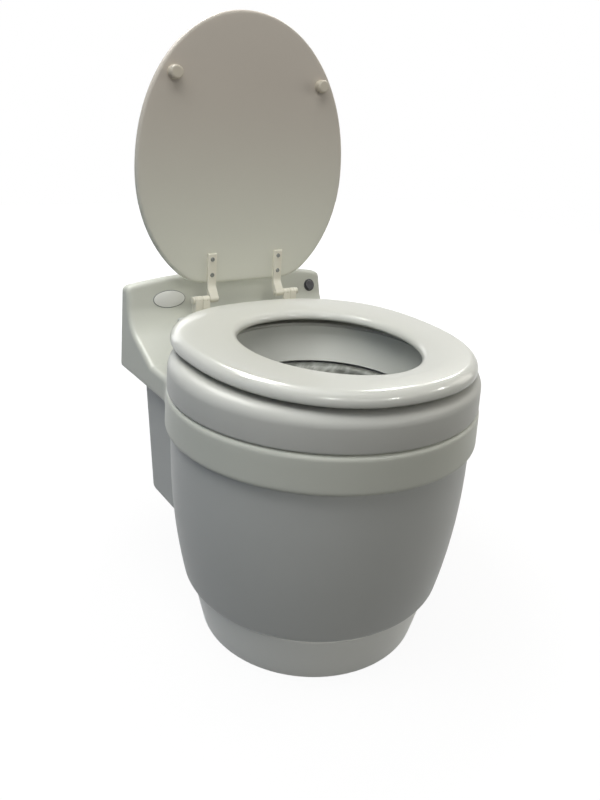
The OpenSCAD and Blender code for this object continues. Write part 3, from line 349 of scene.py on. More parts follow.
def fair(obj: bpy.types.Object, skin: Skin, voxel: float) -> None:
    """Remeshes a rough block evenly and draws its points onto a smooth skin.

    Args:
        obj: The block, already close to its final shape.
        skin: Signed distance from the skin, negative inside.
        voxel: Size of the new faces.
    """
    rounds, passes, pull, least_slope = 5, 3, 0.6, 0.05
    finish_with(obj, "REMESH", mode="VOXEL", voxel_size=voxel, use_smooth_shade=True)
    edges = np.empty(len(obj.data.edges) * 2, dtype=np.int64)
    obj.data.edges.foreach_get("vertices", edges)
    edges = edges.reshape(-1, 2)
    spots = points_of(obj)
    count = np.bincount(edges.ravel(), minlength=len(spots))[:, None]
    reach = voxel * 0.1
    for _ in range(rounds):
        for _ in range(passes):
            total = np.zeros_like(spots)
            np.add.at(total, edges[:, 0], spots[edges[:, 1]])
            np.add.at(total, edges[:, 1], spots[edges[:, 0]])
            spots = spots * (1 - pull) + total / count * pull
        for _ in range(passes):
            slope = np.empty_like(spots)
            for axis in range(3):
                step = np.zeros(3)
                step[axis] = reach
                slope[:, axis] = (skin(spots + step) - skin(spots - step)) / (2 * reach)
            size = np.maximum((slope ** 2).sum(axis=1), least_slope)
            move = np.clip(skin(spots) / size, -voxel, voxel)
            spots = spots - slope * move[:, None]
    put_points(obj, spots)


def cut_away(obj: bpy.types.Object, chosen: Callable[[Vector, Vector], bool]) -> None:
    """Deletes the faces whose centre and normal the test picks.

    Args:
        obj: The piece.
        chosen: Says of a centre and a normal whether the face goes.
    """
    only(obj)
    bpy.ops.object.mode_set(mode="EDIT")
    bpy.ops.mesh.select_all(action="DESELECT")
    bpy.ops.mesh.select_mode(type="FACE")
    edit = bmesh.from_edit_mesh(obj.data)
    for face in edit.faces:
        face.select_set(chosen(face.calc_center_median(), face.normal))
    bmesh.update_edit_mesh(obj.data)
    bpy.ops.mesh.delete(type="FACE")
    bpy.ops.mesh.select_mode(type="VERT")
    bpy.ops.object.mode_set(mode="OBJECT")


def settle_rim(obj: bpy.types.Object, move: Callable[[Vector], Vector]) -> None:
    """Moves the points on the open edges of a mesh to where the rule says.

    Args:
        obj: The piece.
        move: Gives the new place of a point from its old one.
    """
    edit = bmesh.new()
    edit.from_mesh(obj.data)
    for vert in edit.verts:
        if vert.is_boundary:
            vert.co = move(vert.co.copy())
    edit.to_mesh(obj.data)
    edit.free()


def keep_inside(obj: bpy.types.Object, node: str) -> None:
    """Draws the points that stand outside a node's box back onto it."""
    put_points(obj, np.clip(points_of(obj), low(node), high(node)))


# Finishes

class Graph:
    """A node tree, with short ways to add nodes and to join them."""

    def __init__(self, owner: bpy.types.ID) -> None:
        """Opens the node tree of a material or a world.

        Args:
            owner: The material or world.
        """
        owner.use_nodes = True
        self.nodes = owner.node_tree.nodes
        self.link = owner.node_tree.links.new

    def add(self, kind: str, **sources: Socket) -> bpy.types.Node:
        """Adds a node and links what its named inputs read.

        Args:
            kind: The node's type.
            sources: An output for each input named.

        Returns:
            The node.
        """
        node = self.nodes.new(kind)
        for key, source in sources.items():
            self.link(source, node.inputs[key])
        return node

    def place(self) -> Socket:
        """Object coordinates, which every pattern reads."""
        return self.add("ShaderNodeTexCoord").outputs["Object"]

    def noise(self, place: Socket, scale: float, detail: float) -> Socket:
        """Grey value of a noise texture.

        Args:
            place: Coordinates that it reads.
            scale: Patches in a metre.
            detail: Finer layers on top.

        Returns:
            A value from 0 to 1.
        """
        texture = self.add("ShaderNodeTexNoise", Vector=place)
        texture.inputs["Scale"].default_value = scale
        texture.inputs["Detail"].default_value = detail
        return texture.outputs["Fac"]

    def spread(self, source: Socket, start: float, end: float) -> Socket:
        """Stretches a grey value from 0 and 1 to a new range.

        Args:
            source: The grey value.
            start: What 0 becomes.
            end: What 1 becomes.

        Returns:
            The stretched value.
        """
        node = self.add("ShaderNodeMapRange", Value=source)
        node.inputs["To Min"].default_value = start
        node.inputs["To Max"].default_value = end
        return node.outputs["Result"]

    def bump(self, height: Socket, strength: float, distance: float) -> bpy.types.Node:
        """Adds a relief that a grey value draws.

        Args:
            height: The grey value.
            strength: Share of the relief that shows.
            distance: Height of the relief, in metres.

        Returns:
            The relief, with a normal to link on.
        """
        node = self.add("ShaderNodeBump", Height=height)
        node.inputs["Strength"].default_value = strength
        node.inputs["Distance"].default_value = distance
        return node

    def blend(self, share: Socket, start: Point | Socket, end: Point) -> Socket:
        """Mixes a colour, or what a socket gives, into a second colour.

        Args:
            share: How much of the second colour shows, from 0 to 1.
            start: The first colour.
            end: The second colour.

        Returns:
            The mixed colour.
        """
        node = self.nodes.new("ShaderNodeMix")
        node.data_type = "RGBA"
        self.link(share, node.inputs[0])
        if isinstance(start, Socket):
            self.link(start, node.inputs[6])
        else:
            node.inputs[6].default_value = (*start, 1.0)
        node.inputs[7].default_value = (*end, 1.0)
        return node.outputs[2]

    def seen(self) -> Socket:
        """One where a camera, glossy or transmission ray looks, and nothing elsewhere.

        Returns:
            The value.
        """
        path = self.add("ShaderNodeLightPath")
        total = path.outputs["Is Camera Ray"]
        for kind in ("Is Glossy Ray", "Is Transmission Ray"):
            more = self.add("ShaderNodeMath")
            more.operation = "MAXIMUM"
            self.link(total, more.inputs[0])
            self.link(path.outputs[kind], more.inputs[1])
            total = more.outputs["Value"]
        return total


@dataclass(frozen=True)
class Finish:
    """A procedural surface: colour, mottling, gloss, fine relief and, where set, painted bounce light towards
    its foot.
    """

    name: str
    colour: Point
    roughness: float = 0.45
    metallic: float = 0.0
    specular: float = 0.35
    coat: float = 0.0
    coat_roughness: float = 0.1
    mottle: float = 0.03  # Share by which the colour drifts either way
    mottle_scale: float = 9.0  # Patches in a metre
    grain: float = 0.06  # Share of the fine relief that shows
    grain_scale: float = 700.0
    grain_depth: float = 0.0004
    waves: float = 0.0  # Share of a wide, soft relief that shows
    waves_scale: float = 14.0
    waves_depth: float = 0.004
    wear: float = 0.05  # How far the roughness drifts either way
    painted_bounce_colour: Optional[Point] = None  # Painted bounce light: a lighter colour that the piece takes towards its foot
    painted_bounce_span: Flat = (1.0, 0.0)  # Heights where the painted bounce light begins and where it is full

    def material(self) -> bpy.types.Material:
        """Builds the finish once and returns it after that.

        Returns:
            The material.
        """
        ready = bpy.data.materials.get(self.name)
        if ready:
            return ready
        material = bpy.data.materials.new(self.name)
        graph = Graph(material)
        shader = graph.nodes["Principled BSDF"]
        for key, value in (("Metallic", self.metallic), ("Specular IOR Level", self.specular),
                           ("Coat Weight", self.coat), ("Coat Roughness", self.coat_roughness)):
            shader.inputs[key].default_value = value
        place = graph.place()

        dark = tuple(c * (1 - self.mottle) for c in self.colour)
        light = tuple(min(1.0, c * (1 + self.mottle)) for c in self.colour)
        colour = graph.blend(graph.noise(place, self.mottle_scale, 4.0), dark, light)
        # Painted bounce light: the colour turns lighter towards the foot, where light thrown up from below
        # falls.
        if self.painted_bounce_colour:
            colour = graph.blend(self.fall(graph, place), colour, self.painted_bounce_colour)
        graph.link(colour, shader.inputs["Base Color"])

        rub = graph.noise(place, self.mottle_scale * 3.0, 5.0)
        gloss = graph.spread(rub, max(0.02, self.roughness - self.wear), min(1.0, self.roughness + self.wear))
        graph.link(gloss, shader.inputs["Roughness"])

        relief = graph.bump(graph.noise(place, self.grain_scale, 2.0), self.grain, self.grain_depth)
        if self.waves:
            swell = graph.bump(graph.noise(place, self.waves_scale, 1.0), self.waves, self.waves_depth)
            graph.link(swell.outputs["Normal"], relief.inputs["Normal"])
        graph.link(relief.outputs["Normal"], shader.inputs["Normal"])
        return material

    def fall(self, graph: Graph, place: Socket) -> Socket:
        """Share of the painted bounce light at each height.

        Args:
            graph: The finish's node tree.
            place: Object coordinates.

        Returns:
            A share from 0 to 1.
        """
        split = graph.add("ShaderNodeSeparateXYZ", Vector=place)
        fall = graph.add("ShaderNodeMapRange", Value=split.outputs["Z"])
        fall.interpolation_type = "SMOOTHSTEP"
        fall.inputs["From Min"].default_value, fall.inputs["From Max"].default_value = self.painted_bounce_span
        return fall.outputs["Result"]

    def dress(self, obj: bpy.types.Object) -> None:
        """Puts the finish on every material slot of a piece.

        Args:
            obj: The piece.
        """
        material = self.material()
        if not obj.material_slots:
            obj.data.materials.append(material)
        for slot in obj.material_slots:
            slot.material = material


BASE_WHITE = Finish("base_plastic", (0.90, 0.905, 0.85), 0.42, waves=0.05)
BODY_WHITE = Finish("body_plastic", (0.545, 0.553, 0.53), 0.46, specular=0.2, waves=0.06)
HOUSING_WHITE = Finish("housing_plastic", (0.63, 0.64, 0.57), 0.44, specular=0.2, waves=0.06)
RING_WHITE = Finish("ring_plastic", (0.61, 0.61, 0.57), 0.42, specular=0.12, waves=0.05)
SEAT_GLOSS = Finish("seat_enamel", (0.70, 0.70, 0.645), 0.35, specular=0.05, coat=0.4, coat_roughness=0.14,
                    grain=0.015, waves=0.10, waves_scale=26.0, mottle=0.015)
# The lid's foot colour is painted bounce light: lighter and greener towards its foot, standing in for light
# thrown up from the seat.
LID_MATTE = Finish("lid_satin_paint", (0.53, 0.48, 0.42), 0.55, specular=0.25, grain=0.10, grain_scale=420.0,
                   mottle=0.04, mottle_scale=5.0, painted_bounce_colour=(0.72, 0.72, 0.63), painted_bounce_span=(0.74, 0.43))
HINGE_IVORY = Finish("hinge_nylon", (0.74, 0.71, 0.60), 0.38, mottle=0.04)
BUMPER_WHITE = Finish("bumper_rubber", (0.54, 0.49, 0.40), 0.5)
SKIRT_GREY = Finish("skirt_polyethylene", (0.58, 0.59, 0.55), 0.45, waves=0.04)
STEEL = Finish("screw_steel", (0.21, 0.215, 0.20), 0.35, metallic=0.9, mottle=0.15, mottle_scale=90.0)
CARTRIDGE_WHITE = Finish("cartridge_plastic", (0.72, 0.73, 0.74), 0.40)
GEAR_ACETAL = Finish("gear_acetal", (0.76, 0.74, 0.68), 0.35)
MOTOR_GREY = Finish("motor_can", (0.34, 0.35, 0.37), 0.32, metallic=0.85, mottle=0.08)
BATTERY_GREY = Finish("battery_case", (0.055, 0.06, 0.07), 0.5, grain=0.12)
BOARD_GREEN = Finish("board_lacquer", (0.02, 0.12, 0.05), 0.3, coat=0.3, mottle=0.2, mottle_scale=120.0)
BLACK_PLASTIC = Finish("black_plastic", (0.010, 0.010, 0.011), 0.24, specular=0.08, wear=0.03)
BLACK_RUBBER = Finish("black_rubber", (0.03, 0.03, 0.032), 0.65, grain=0.15)
BADGE_PALE = Finish("badge_vinyl", (0.84, 0.84, 0.80), 0.5, specular=0.1, mottle=0.02)
BADGE_RIM = Finish("badge_edge", (0.22, 0.23, 0.21), 0.35)


@dataclass(frozen=True)
class FoilFinish:
    """Metallised film: dull patches, painted highlight streaks that stand for glints on its creases, and fine
    crumpling.
    """

    name: str = "liner_foil"
    # Painted highlight: the streak colour that stands for glints on the creases; dull is the film between
    # them
    painted_glint: Point = (0.25, 0.26, 0.24)
    dull: Point = (0.15, 0.155, 0.14)
    metallic: float = 0.35
    roughness: Flat = (0.38, 0.60)
    turn: Point = (0.0, -0.67, 0.3)  # Of the pattern, about each axis
    stretch: Point = (6.0, 1.6, 1.0)  # Of the pattern, along its own axes
    streak_scale: float = 150.0
    streak_span: Flat = (0.42, 0.62)  # Grey values of the streaks that read dull and that read as full painted highlight
    crease_scale: float = 95.0
    crease_strength: float = 0.5
    crease_depth: float = 0.002

    def dress(self, obj: bpy.types.Object) -> None:
        """Builds the film's material and puts it on a piece.

        Args:
            obj: The piece.
        """
        material = bpy.data.materials.new(self.name)
        graph = Graph(material)
        shader = graph.nodes["Principled BSDF"]
        shader.inputs["Metallic"].default_value = self.metallic
        turned = graph.add("ShaderNodeMapping", Vector=graph.place())
        turned.vector_type = "TEXTURE"
        turned.inputs["Rotation"].default_value = self.turn
        turned.inputs["Scale"].default_value = self.stretch
        place = turned.outputs["Vector"]
        # Painted highlights: diagonal noise streaks lift the base colour from dull to bright, standing for
        # glints on the creases.
        streak = graph.noise(place, self.streak_scale, 6.0)
        ramp = graph.add("ShaderNodeValToRGB", Fac=streak)
        for stop, at, colour in zip(ramp.color_ramp.elements, self.streak_span, (self.dull, self.painted_glint)):
            stop.position = at
            stop.color = (*colour, 1.0)
        graph.link(ramp.outputs["Color"], shader.inputs["Base Color"])
        graph.link(graph.spread(streak, *self.roughness), shader.inputs["Roughness"])
        crease = graph.add("ShaderNodeTexVoronoi", Vector=place)
        crease.feature = "DISTANCE_TO_EDGE"
        crease.inputs["Scale"].default_value = self.crease_scale
        relief = graph.bump(crease.outputs["Distance"], self.crease_strength, self.crease_depth)
        graph.link(relief.outputs["Normal"], shader.inputs["Normal"])
        obj.data.materials.clear()
        obj.data.materials.append(material)


# Studio

@dataclass(frozen=True)
class Lamp:
    """A rectangular lamp that faces the object. A glint lamp shows only in glossy surfaces."""

    name: str
    spot: Point
    size: Flat
    power: float
    colour: Point = (1.0, 1.0, 0.95)
    target: Point = (0.0, 0.0, 0.4)
    glint: bool = False

    def hang(self) -> None:
        """Adds the lamp."""
        rest()
        bpy.ops.object.light_add(type="AREA", location=self.spot)
        lamp = named(self.name)
        lamp.data.shape = "RECTANGLE"
        lamp.data.size, lamp.data.size_y = self.size
        lamp.data.energy = self.power
        lamp.data.color = self.colour
        lamp.rotation_euler = (Vector(self.spot) - Vector(self.target)).to_track_quat("Z", "Y").to_euler()
        if self.glint:
            lamp.visible_diffuse = False


LAMPS = (
    Lamp("key", (-0.5, -0.15, 2.4), (1.7, 1.7), 32.0, (1.0, 1.0, 0.98), (0.0, 0.05, 0.3)),
    Lamp("over_left", (-1.3, 0.1, 2.0), (1.0, 1.0), 8.5, (0.95, 0.99, 1.0), (0.0, 0.05, 0.3)),
    Lamp("near_left", (-1.5, -1.0, 1.0), (0.8, 0.8), 1.5, (0.98, 1.0, 1.05), (0.0, 0.0, 0.3)),
    Lamp("window", (-1.9, 0.3, 0.9), (0.8, 1.0), 1.0, (0.35, 0.75, 1.5), (0.0, 0.0, 0.3)),
    Lamp("low_right", (1.9, -0.4, 0.9), (0.8, 1.0), 9.5, (1.0, 0.98, 0.90), (0.0, 0.0, 0.3)),
    Lamp("hall", (-0.6, -3.6, 2.3), (1.6, 1.0), 24.0, (1.0, 0.99, 0.94)),
    Lamp("behind", (0.3, 3.0, 0.8), (2.0, 1.2), 26.0, (1.0, 1.0, 0.98)),
    Lamp("tube_left", (-0.8, 1.0, 2.4), (0.25, 0.6), 85.0, glint=True),
    Lamp("tube_mid", (-0.1, 1.4, 2.4), (0.15, 1.0), 100.0, glint=True),
    Lamp("tube_right", (1.6, 1.2, 2.4), (0.12, 0.8), 38.0, glint=True),
    Lamp("tube_far", (2.9, 1.7, 2.4), (0.15, 0.5), 25.0, glint=True),
    Lamp("pane_left", (-2.0, -2.6, 2.4), (0.6, 0.35), 70.0, glint=True),
    Lamp("pane_mid", (1.0, -3.9, 2.38), (0.7, 0.4), 75.0, glint=True),
    Lamp("pane_right", (3.4, -2.35, 2.4), (0.6, 0.35), 60.0, glint=True),
)


@dataclass
class Studio:
    """Camera at the photograph's place, pale floor, white background and soft lamps."""

    eye: Point = (-0.5645, -0.7469, 0.6822)
    azimuth: float = -36.9
    elevation: float = 11.3
    roll: float = 4.2
    lens: float = 33.0
    shift: Flat = (-0.0378, -0.172)  # Of the picture, as a share of its longer side
    ambient: float = 0.02  # Strength of the world as it lights the object
    floor_size: float = 8.0
    floor_grey: float = 0.5  # As it is seen
    floor_bounce: float = 0.22  # As it lights the object
    floor_glow: float = 0.82  # Share of glow in the floor as it is seen
    glow: Flat = (1.13, 1.33)  # Strength near the object and far from it
    glow_span: Flat = (0.3, 1.4)  # Distances from the middle that have them

    def build(self) -> None:
        """Sets the camera, the world, the floor and the lamps."""
        self.camera()
        self.world()
        self.floor()
        for lamp in LAMPS:
            lamp.hang()
        bpy.context.scene.view_settings.view_transform = "Standard"

    def camera(self) -> None:
        """Places the camera by its azimuth, elevation and roll."""
        side, rise, roll = (math.radians(a) for a in (self.azimuth, self.elevation, self.roll))
        back = Vector((math.sin(side) * math.cos(rise), -math.cos(side) * math.cos(rise), math.sin(rise)))
        level = Vector((math.cos(side), math.sin(side), 0.0))
        tipped = back.cross(level)
        right = level * math.cos(roll) + tipped * math.sin(roll)
        up = tipped * math.cos(roll) - level * math.sin(roll)
        rest()
        bpy.ops.object.camera_add(location=self.eye)
        camera = named("camera")
        turned = Matrix((right, up, back)).transposed().to_4x4()
        camera.matrix_world = Matrix.Translation(self.eye) @ turned
        camera.data.lens = self.lens
        camera.data.sensor_width = 36.0
        camera.data.shift_x, camera.data.shift_y = self.shift
        camera.data.clip_start = 0.05
        bpy.context.scene.camera = camera

    def world(self) -> None:
        """White to the eye and in reflections, a soft grey light to everything else."""
        world = bpy.data.worlds.new("studio")
        graph = Graph(world)
        graph.nodes.clear()
        back = graph.add("ShaderNodeBackground", Strength=graph.spread(graph.seen(), self.ambient, 1.0))
        back.inputs["Color"].default_value = (1.0, 1.0, 1.0, 1.0)
        graph.add("ShaderNodeOutputWorld", Surface=back.outputs["Background"])
        bpy.context.scene.world = world

    def floor(self) -> None:
        """A wide pale floor that keeps a faint shadow of the object."""
        rest()
        bpy.ops.mesh.primitive_plane_add(size=self.floor_size, location=ORIGIN)
        floor = named("floor")
        material = bpy.data.materials.new("floor_paper")
        graph = Graph(material)
        shader = graph.nodes["Principled BSDF"]
        shader.inputs["Roughness"].default_value = 0.9
        shader.inputs["Specular IOR Level"].default_value = 0.0
        seen = graph.seen()
        graph.link(graph.spread(seen, self.floor_bounce, self.floor_grey), shader.inputs["Base Color"])
        away = graph.nodes.new("ShaderNodeVectorMath")
        away.operation = "LENGTH"
        graph.link(graph.place(), away.inputs[0])
        fade = graph.add("ShaderNodeMapRange", Value=away.outputs["Value"])
        fade.inputs["From Min"].default_value, fade.inputs["From Max"].default_value = self.glow_span
        fade.inputs["To Min"].default_value, fade.inputs["To Max"].default_value = self.glow
        glow = graph.add("ShaderNodeEmission", Strength=fade.outputs["Result"])
        mix = graph.add("ShaderNodeMixShader", Fac=graph.spread(seen, 0.0, self.floor_glow))
        graph.link(shader.outputs["BSDF"], mix.inputs[1])
        graph.link(glow.outputs["Emission"], mix.inputs[2])
        graph.link(mix.outputs["Shader"], graph.nodes["Material Output"].inputs["Surface"])
        floor.data.materials.append(material)


# The object

def deliver(obj: bpy.types.Object, finish: Finish | FoilFinish, body: Body, slot: str, *nodes: str) -> None:
    """Dresses a piece, hands it to its body and hides the nodes it stands for.

    Args:
        obj: The piece.
        finish: What it is dressed with.
        body: The body that it rides on.
        slot: Name of its material slot; not used.
        nodes: Construction nodes that it replaces, if any.
    """
    finish.dress(obj)
    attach(obj, body.value)
    if nodes:
        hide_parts(*nodes)
    LOG.info("%s: %d faces, rides on %s", obj.name, len(obj.data.polygons), body.value)


@dataclass
class BasePlinth:
    """The pale plinth that stands on the floor and carries the body."""

    foot_r: float = high("base_plinth").x - 0.016
    top_r: float = high("base_plinth").x
    height: float = high("base_plinth").z
    wall: float = 0.004
    ledge: float = 0.011  # Width of the top inside the wall
    edge: float = 0.004

    def build(self) -> bpy.types.Object:
        """Spins the plinth's section.

        Returns:
            The plinth.
        """
        e, w = self.edge, self.wall
        inner = self.top_r - w - self.ledge
        profile = [(0.0, 0.0), (self.foot_r - e, 0.0)]
        profile += arc((self.foot_r - e, e), e, -80, -14, 5)
        profile += arc((self.top_r - e, self.height - e), e, -12, 90, 6)
        profile += [(inner, self.height), (inner, self.height - w),
                    (self.top_r - w * 1.3, self.height - w), (self.foot_r - w, w), (0.0, w)]
        return smooth(spun("plinth", profile, 192))

    def dress(self) -> None:
        """Builds and finishes the plinth."""
        deliver(self.build(), BASE_WHITE, Body.HOUSING, "base_white", "base_plinth")


@dataclass
class BodyShell:
    """The bellied tub and the tapered housing behind it, moulded as one wall."""

    low_r: float = 0.1735  # Of the tub, at its foot
    top_r: float = 0.1995  # Of the tub, at its top
    bottom: float = high("base_plinth").z
    top: float = low("upper_housing").z
    belly: float = 2.2  # Power of its curve, where 1 is a cone
    corner: float = 0.011
    mouth_r: float = 0.1465  # Of the opening in the bottom
    wall: float = 0.004
    rear_half: float = 0.1535
    rear_top_y: float = 0.250
    rear_top: float = high("body_shell").z
    rear_low: float = 0.118
    slope: float = 0.25  # Run of the back for each rise
    upright: float = 0.016  # Rounding of the rear housing
    fillet: float = 0.006  # Between tub and rear housing
    rim_gap: float = 0.0085  # From the top circle to the level of the rear housing
    voxel: float = 0.0032

    def reach(self, z: np.ndarray) -> np.ndarray:
        """Radius of the tub at a height."""
        rise = np.clip((z - self.bottom) / (self.top - self.bottom), 0.0, 1.0)
        return self.top_r - (self.top_r - self.low_r) * (1 - rise) ** self.belly

    def skin(self, spots: np.ndarray) -> np.ndarray:
        """Signed distance from the outside of the tub and its rear housing.

        Args:
            spots: Places, one row each.

        Returns:
            A distance for each place, negative inside.
        """
        x, y, z = spots.T
        off_axis = np.hypot(x, y)
        rise = np.clip((z - self.bottom) / (self.top - self.bottom), 0.0, 1.0)
        lean = (self.top_r - self.low_r) * self.belly * (1 - rise) ** (self.belly - 1)
        lean = lean / (self.top - self.bottom)
        tub = (off_axis - self.reach(z)) / np.sqrt(1 + lean ** 2)
        tub = round_max(tub, self.bottom - z, self.corner)
        tub = np.maximum(tub, z - self.top)
        back = (y - (self.rear_top_y - (self.rear_top - z) * self.slope)) / math.hypot(1.0, self.slope)
        rear = round_max(np.abs(x) - self.rear_half, back, self.upright)
        rear = round_max(rear, self.rear_low - z, self.upright * 0.6)
        rear = np.maximum(rear, -y)
        level = np.where(off_axis > self.top_r + self.rim_gap, self.rear_top, self.top)
        rear = np.maximum(rear, z - level)
        return round_min(tub, rear, self.fillet)

    def build(self) -> bpy.types.Object:
        """Joins a spun tub and a rear block, fairs them and gives them a wall.

        Returns:
            The shell.
        """
        heights = np.linspace(self.bottom + self.corner, self.top, 12)
        side = [(float(self.reach(z)), float(z)) for z in heights]
        tub = spun("shell", [(0.0, self.bottom), (self.low_r - self.corner, self.bottom), *side,
                             (0.0, self.top)], 96)
        run = (self.rear_top - self.rear_low) * self.slope
        side_view = [(0.0, self.rear_low), (self.rear_top_y - run, self.rear_low),
                     (self.rear_top_y, self.rear_top), (0.0, self.rear_top)]
        block = pushed("rear_block", across(-self.rear_half, side_view), (2 * self.rear_half, 0.0, 0.0))
        combine(tub, block, "UNION")
        fair(tub, self.skin, self.voxel)
        cut_away(tub, self.opening)
        settle_rim(tub, self.settle)
        finish_with(tub, "SOLIDIFY", thickness=self.wall, offset=-1.0)
        keep_inside(tub, "body_shell")
        return smooth(tub, 50)

    def opening(self, center: Vector, normal: Vector) -> bool:
        """Picks the faces over the open top and in the mouth of the bottom.

        Args:
            center: Middle of the face.
            normal: Its normal.

        Returns:
            Whether the face goes.
        """
        at_top = center.z > self.top - NEAR
        at_mouth = center.z < self.bottom + NEAR and math.hypot(center.x, center.y) < self.mouth_r
        return abs(normal.z) > LEVEL and (at_top or at_mouth)

    def settle(self, spot: Vector) -> Vector:
        """Puts a point of the open rim on its circle or its level.

        Args:
            spot: The point.

        Returns:
            Its new place.
        """
        off_axis = math.hypot(spot.x, spot.y)
        if spot.z < self.bottom + RIM_ZONE:
            scale = self.mouth_r / off_axis
            return Vector((spot.x * scale, spot.y * scale, self.bottom))
        spot.z = self.rear_top if off_axis > self.top_r + self.rim_gap else self.top
        return spot

    def dress(self) -> None:
        """Builds and finishes the shell."""
        deliver(self.build(), BODY_WHITE, Body.HOUSING, "body_white", "body_shell")


@dataclass
class UpperHousing:
    """The band round the top of the body and the console behind it, in one moulding."""

    band_r: float = -low("upper_housing").y
    band_low: float = low("upper_housing").z
    band_top: float = 0.325
    shoulder: float = 0.007
    half: float = 0.174
    back: float = high("upper_housing").y
    top: float = 0.415
    crown: float = high("upper_housing").z - top  # Rise of its arch
    console_low: float = 0.286
    front: float = 0.267
    lean: float = math.radians(14)  # Of the console face, from upright
    slope: float = math.radians(24.5)  # Of the scoop floor, from level
    foot: Flat = (0.174, 0.322)  # Y and Z of the place where the scoop begins
    scoop_r: float = 0.055
    corner: float = 0.010  # Rounding of the edges that run front to back
    edge: float = 0.007  # Rounding of the edges that run side to side
    soft: float = 0.007  # Rounding of the upright edges
    blend: float = 0.009  # Fillet from the console to the band
    pocket_r: float = 0.2076  # Of the pocket that the bowl ring drops into
    hole_r: float = 0.1754  # Of the hole in the pocket floor
    flange_r: float = 0.1905  # Of the hole in the underside
    rear_mouth: Point = (0.140, 0.150, 0.236)  # Half width, start and end of the open underside behind
    rim_reach: float = 0.004  # A rim point this close to its circle goes onto it
    overlap: float = 0.070  # Of the console block over the band
    wall: float = 0.004
    band_foot: float = 0.004
    console_foot: float = 0.003
    pocket_edge: float = 0.0015
    face_limit: float = math.radians(100)  # Where the console face ends, as seen from the centre of the bend
    voxel: float = 0.0028

    def scoop_center(self) -> Flat:
        """Centre of the arc that turns the scoop floor up into the face.

        Returns:
            Its Y and Z.
        """
        lean, slope = self.lean, self.slope
        run = (self.front - (self.top - self.foot[1]) * math.tan(lean) - self.foot[0])
        run = run / (1 - math.tan(slope) * math.tan(lean))
        corner = (self.foot[0] + run, self.foot[1] + run * math.tan(slope))
        reach = self.scoop_r * math.tan((math.pi / 2 - lean - slope) / 2)
        return (corner[0] - reach * math.cos(slope) - self.scoop_r * math.sin(slope),
                corner[1] - reach * math.sin(slope) + self.scoop_r * math.cos(slope))

    def arch(self, x: np.ndarray, z: np.ndarray) -> np.ndarray:
        """Signed distance above the arched top of the console."""
        radius = (self.half ** 2 + self.crown ** 2) / (2 * self.crown)
        return np.hypot(x, z - (self.top + self.crown - radius)) - radius

    def air(self, y: np.ndarray, z: np.ndarray) -> np.ndarray:
        """Distance above the scoop and in front of the console face.

        Args:
            y: Y of each place.
            z: Z of each place.

        Returns:
            A distance for each place, positive in the open.
        """
        face = (self.front - (self.top - z) * math.tan(self.lean) - y) * math.cos(self.lean)
        floor = (z - self.foot[1]) * math.cos(self.slope) - (y - self.foot[0]) * math.sin(self.slope)
        center = self.scoop_center()
        turn = np.arctan2(z - center[1], y - center[0])
        bend = self.scoop_r - np.hypot(y - center[0], z - center[1])
        in_face = (turn > -self.lean) & (turn < self.face_limit)
        in_bend = (turn <= -self.lean) & (turn >= self.slope - math.pi / 2)
        open_side = np.where(in_face, face, np.where(in_bend, bend, floor))
        return np.minimum(open_side, z - self.foot[1])

    def skin(self, spots: np.ndarray) -> np.ndarray:
        """Signed distance from the outside of the moulding.

        Args:
            spots: Places, one row each.

        Returns:
            A distance for each place, negative inside.
        """
        x, y, z = spots.T
        off_axis = np.hypot(x, y)
        band = round_max(off_axis - self.band_r, z - self.band_top, self.shoulder)
        band = round_max(band, self.band_low - z, self.band_foot)
        arch = self.arch(x, z)
        side = round_max(self.air(y, z), arch, self.edge)
        side = round_max(side, y - self.back, self.edge)
        side = round_max(side, self.console_low - z, self.console_foot)
        side = np.maximum(side, self.foot[0] - self.overlap - y)
        front = round_max(np.abs(x) - self.half, arch, self.corner)
        console = round_max(side, front, self.soft)
        whole = round_min(band, console, self.blend)
        pocket = np.minimum(self.pocket_r - off_axis, z - self.band_top)
        return round_max(whole, pocket, self.pocket_edge)

    def build(self) -> bpy.types.Object:
        """Joins the band and the console, sinks the pocket and fairs the whole.

        Returns:
            The moulding, as a wall.
        """
        height = self.band_top - self.band_low
        band = cylinder("upper_shell", 160, self.band_r, height, (0.0, 0.0, self.band_low + height / 2))
        bevel(band, self.shoulder * 0.7, 3)
        bend = arc(self.scoop_center(), self.scoop_r, -90 + math.degrees(self.slope),
                   -math.degrees(self.lean), 6)
        roof = self.top + self.crown
        ridge = (self.front + self.crown * math.tan(self.lean), roof)
        inside = self.foot[0] - self.overlap
        side = [(inside, self.console_low), (inside, self.foot[1]), self.foot, *bend, ridge,
                (self.back, roof), (self.back, self.console_low)]
        block = pushed("console", across(-self.half, side), (2 * self.half, 0.0, 0.0))
        bevel(block, self.edge, 2, 40)
        combine(band, block, "UNION")
        pocket = cylinder("pocket", 160, self.pocket_r, 0.2, (0.0, 0.0, self.band_top + 0.1))
        combine(band, pocket, "DIFFERENCE")
        fair(band, self.skin, self.voxel)
        cut_away(band, self.opening)
        settle_rim(band, self.settle)
        finish_with(band, "SOLIDIFY", thickness=self.wall, offset=-1.0)
        keep_inside(band, "upper_housing")
        return smooth(band, 50)

    def opening(self, center: Vector, normal: Vector) -> bool:
        """Picks the faces of the hole in the deck and of the open underside.

        Args:
            center: Middle of the face.
            normal: Its normal.

        Returns:
            Whether the face goes.
        """
        off_axis = math.hypot(center.x, center.y)
        if normal.z > LEVEL:
            return off_axis < self.hole_r
        under = normal.z < -LEVEL and center.z < self.console_low + NEAR
        half, start, end = self.rear_mouth
        in_rear = abs(center.x) < half and start < center.y < end
        return under and (off_axis < self.flange_r or in_rear)

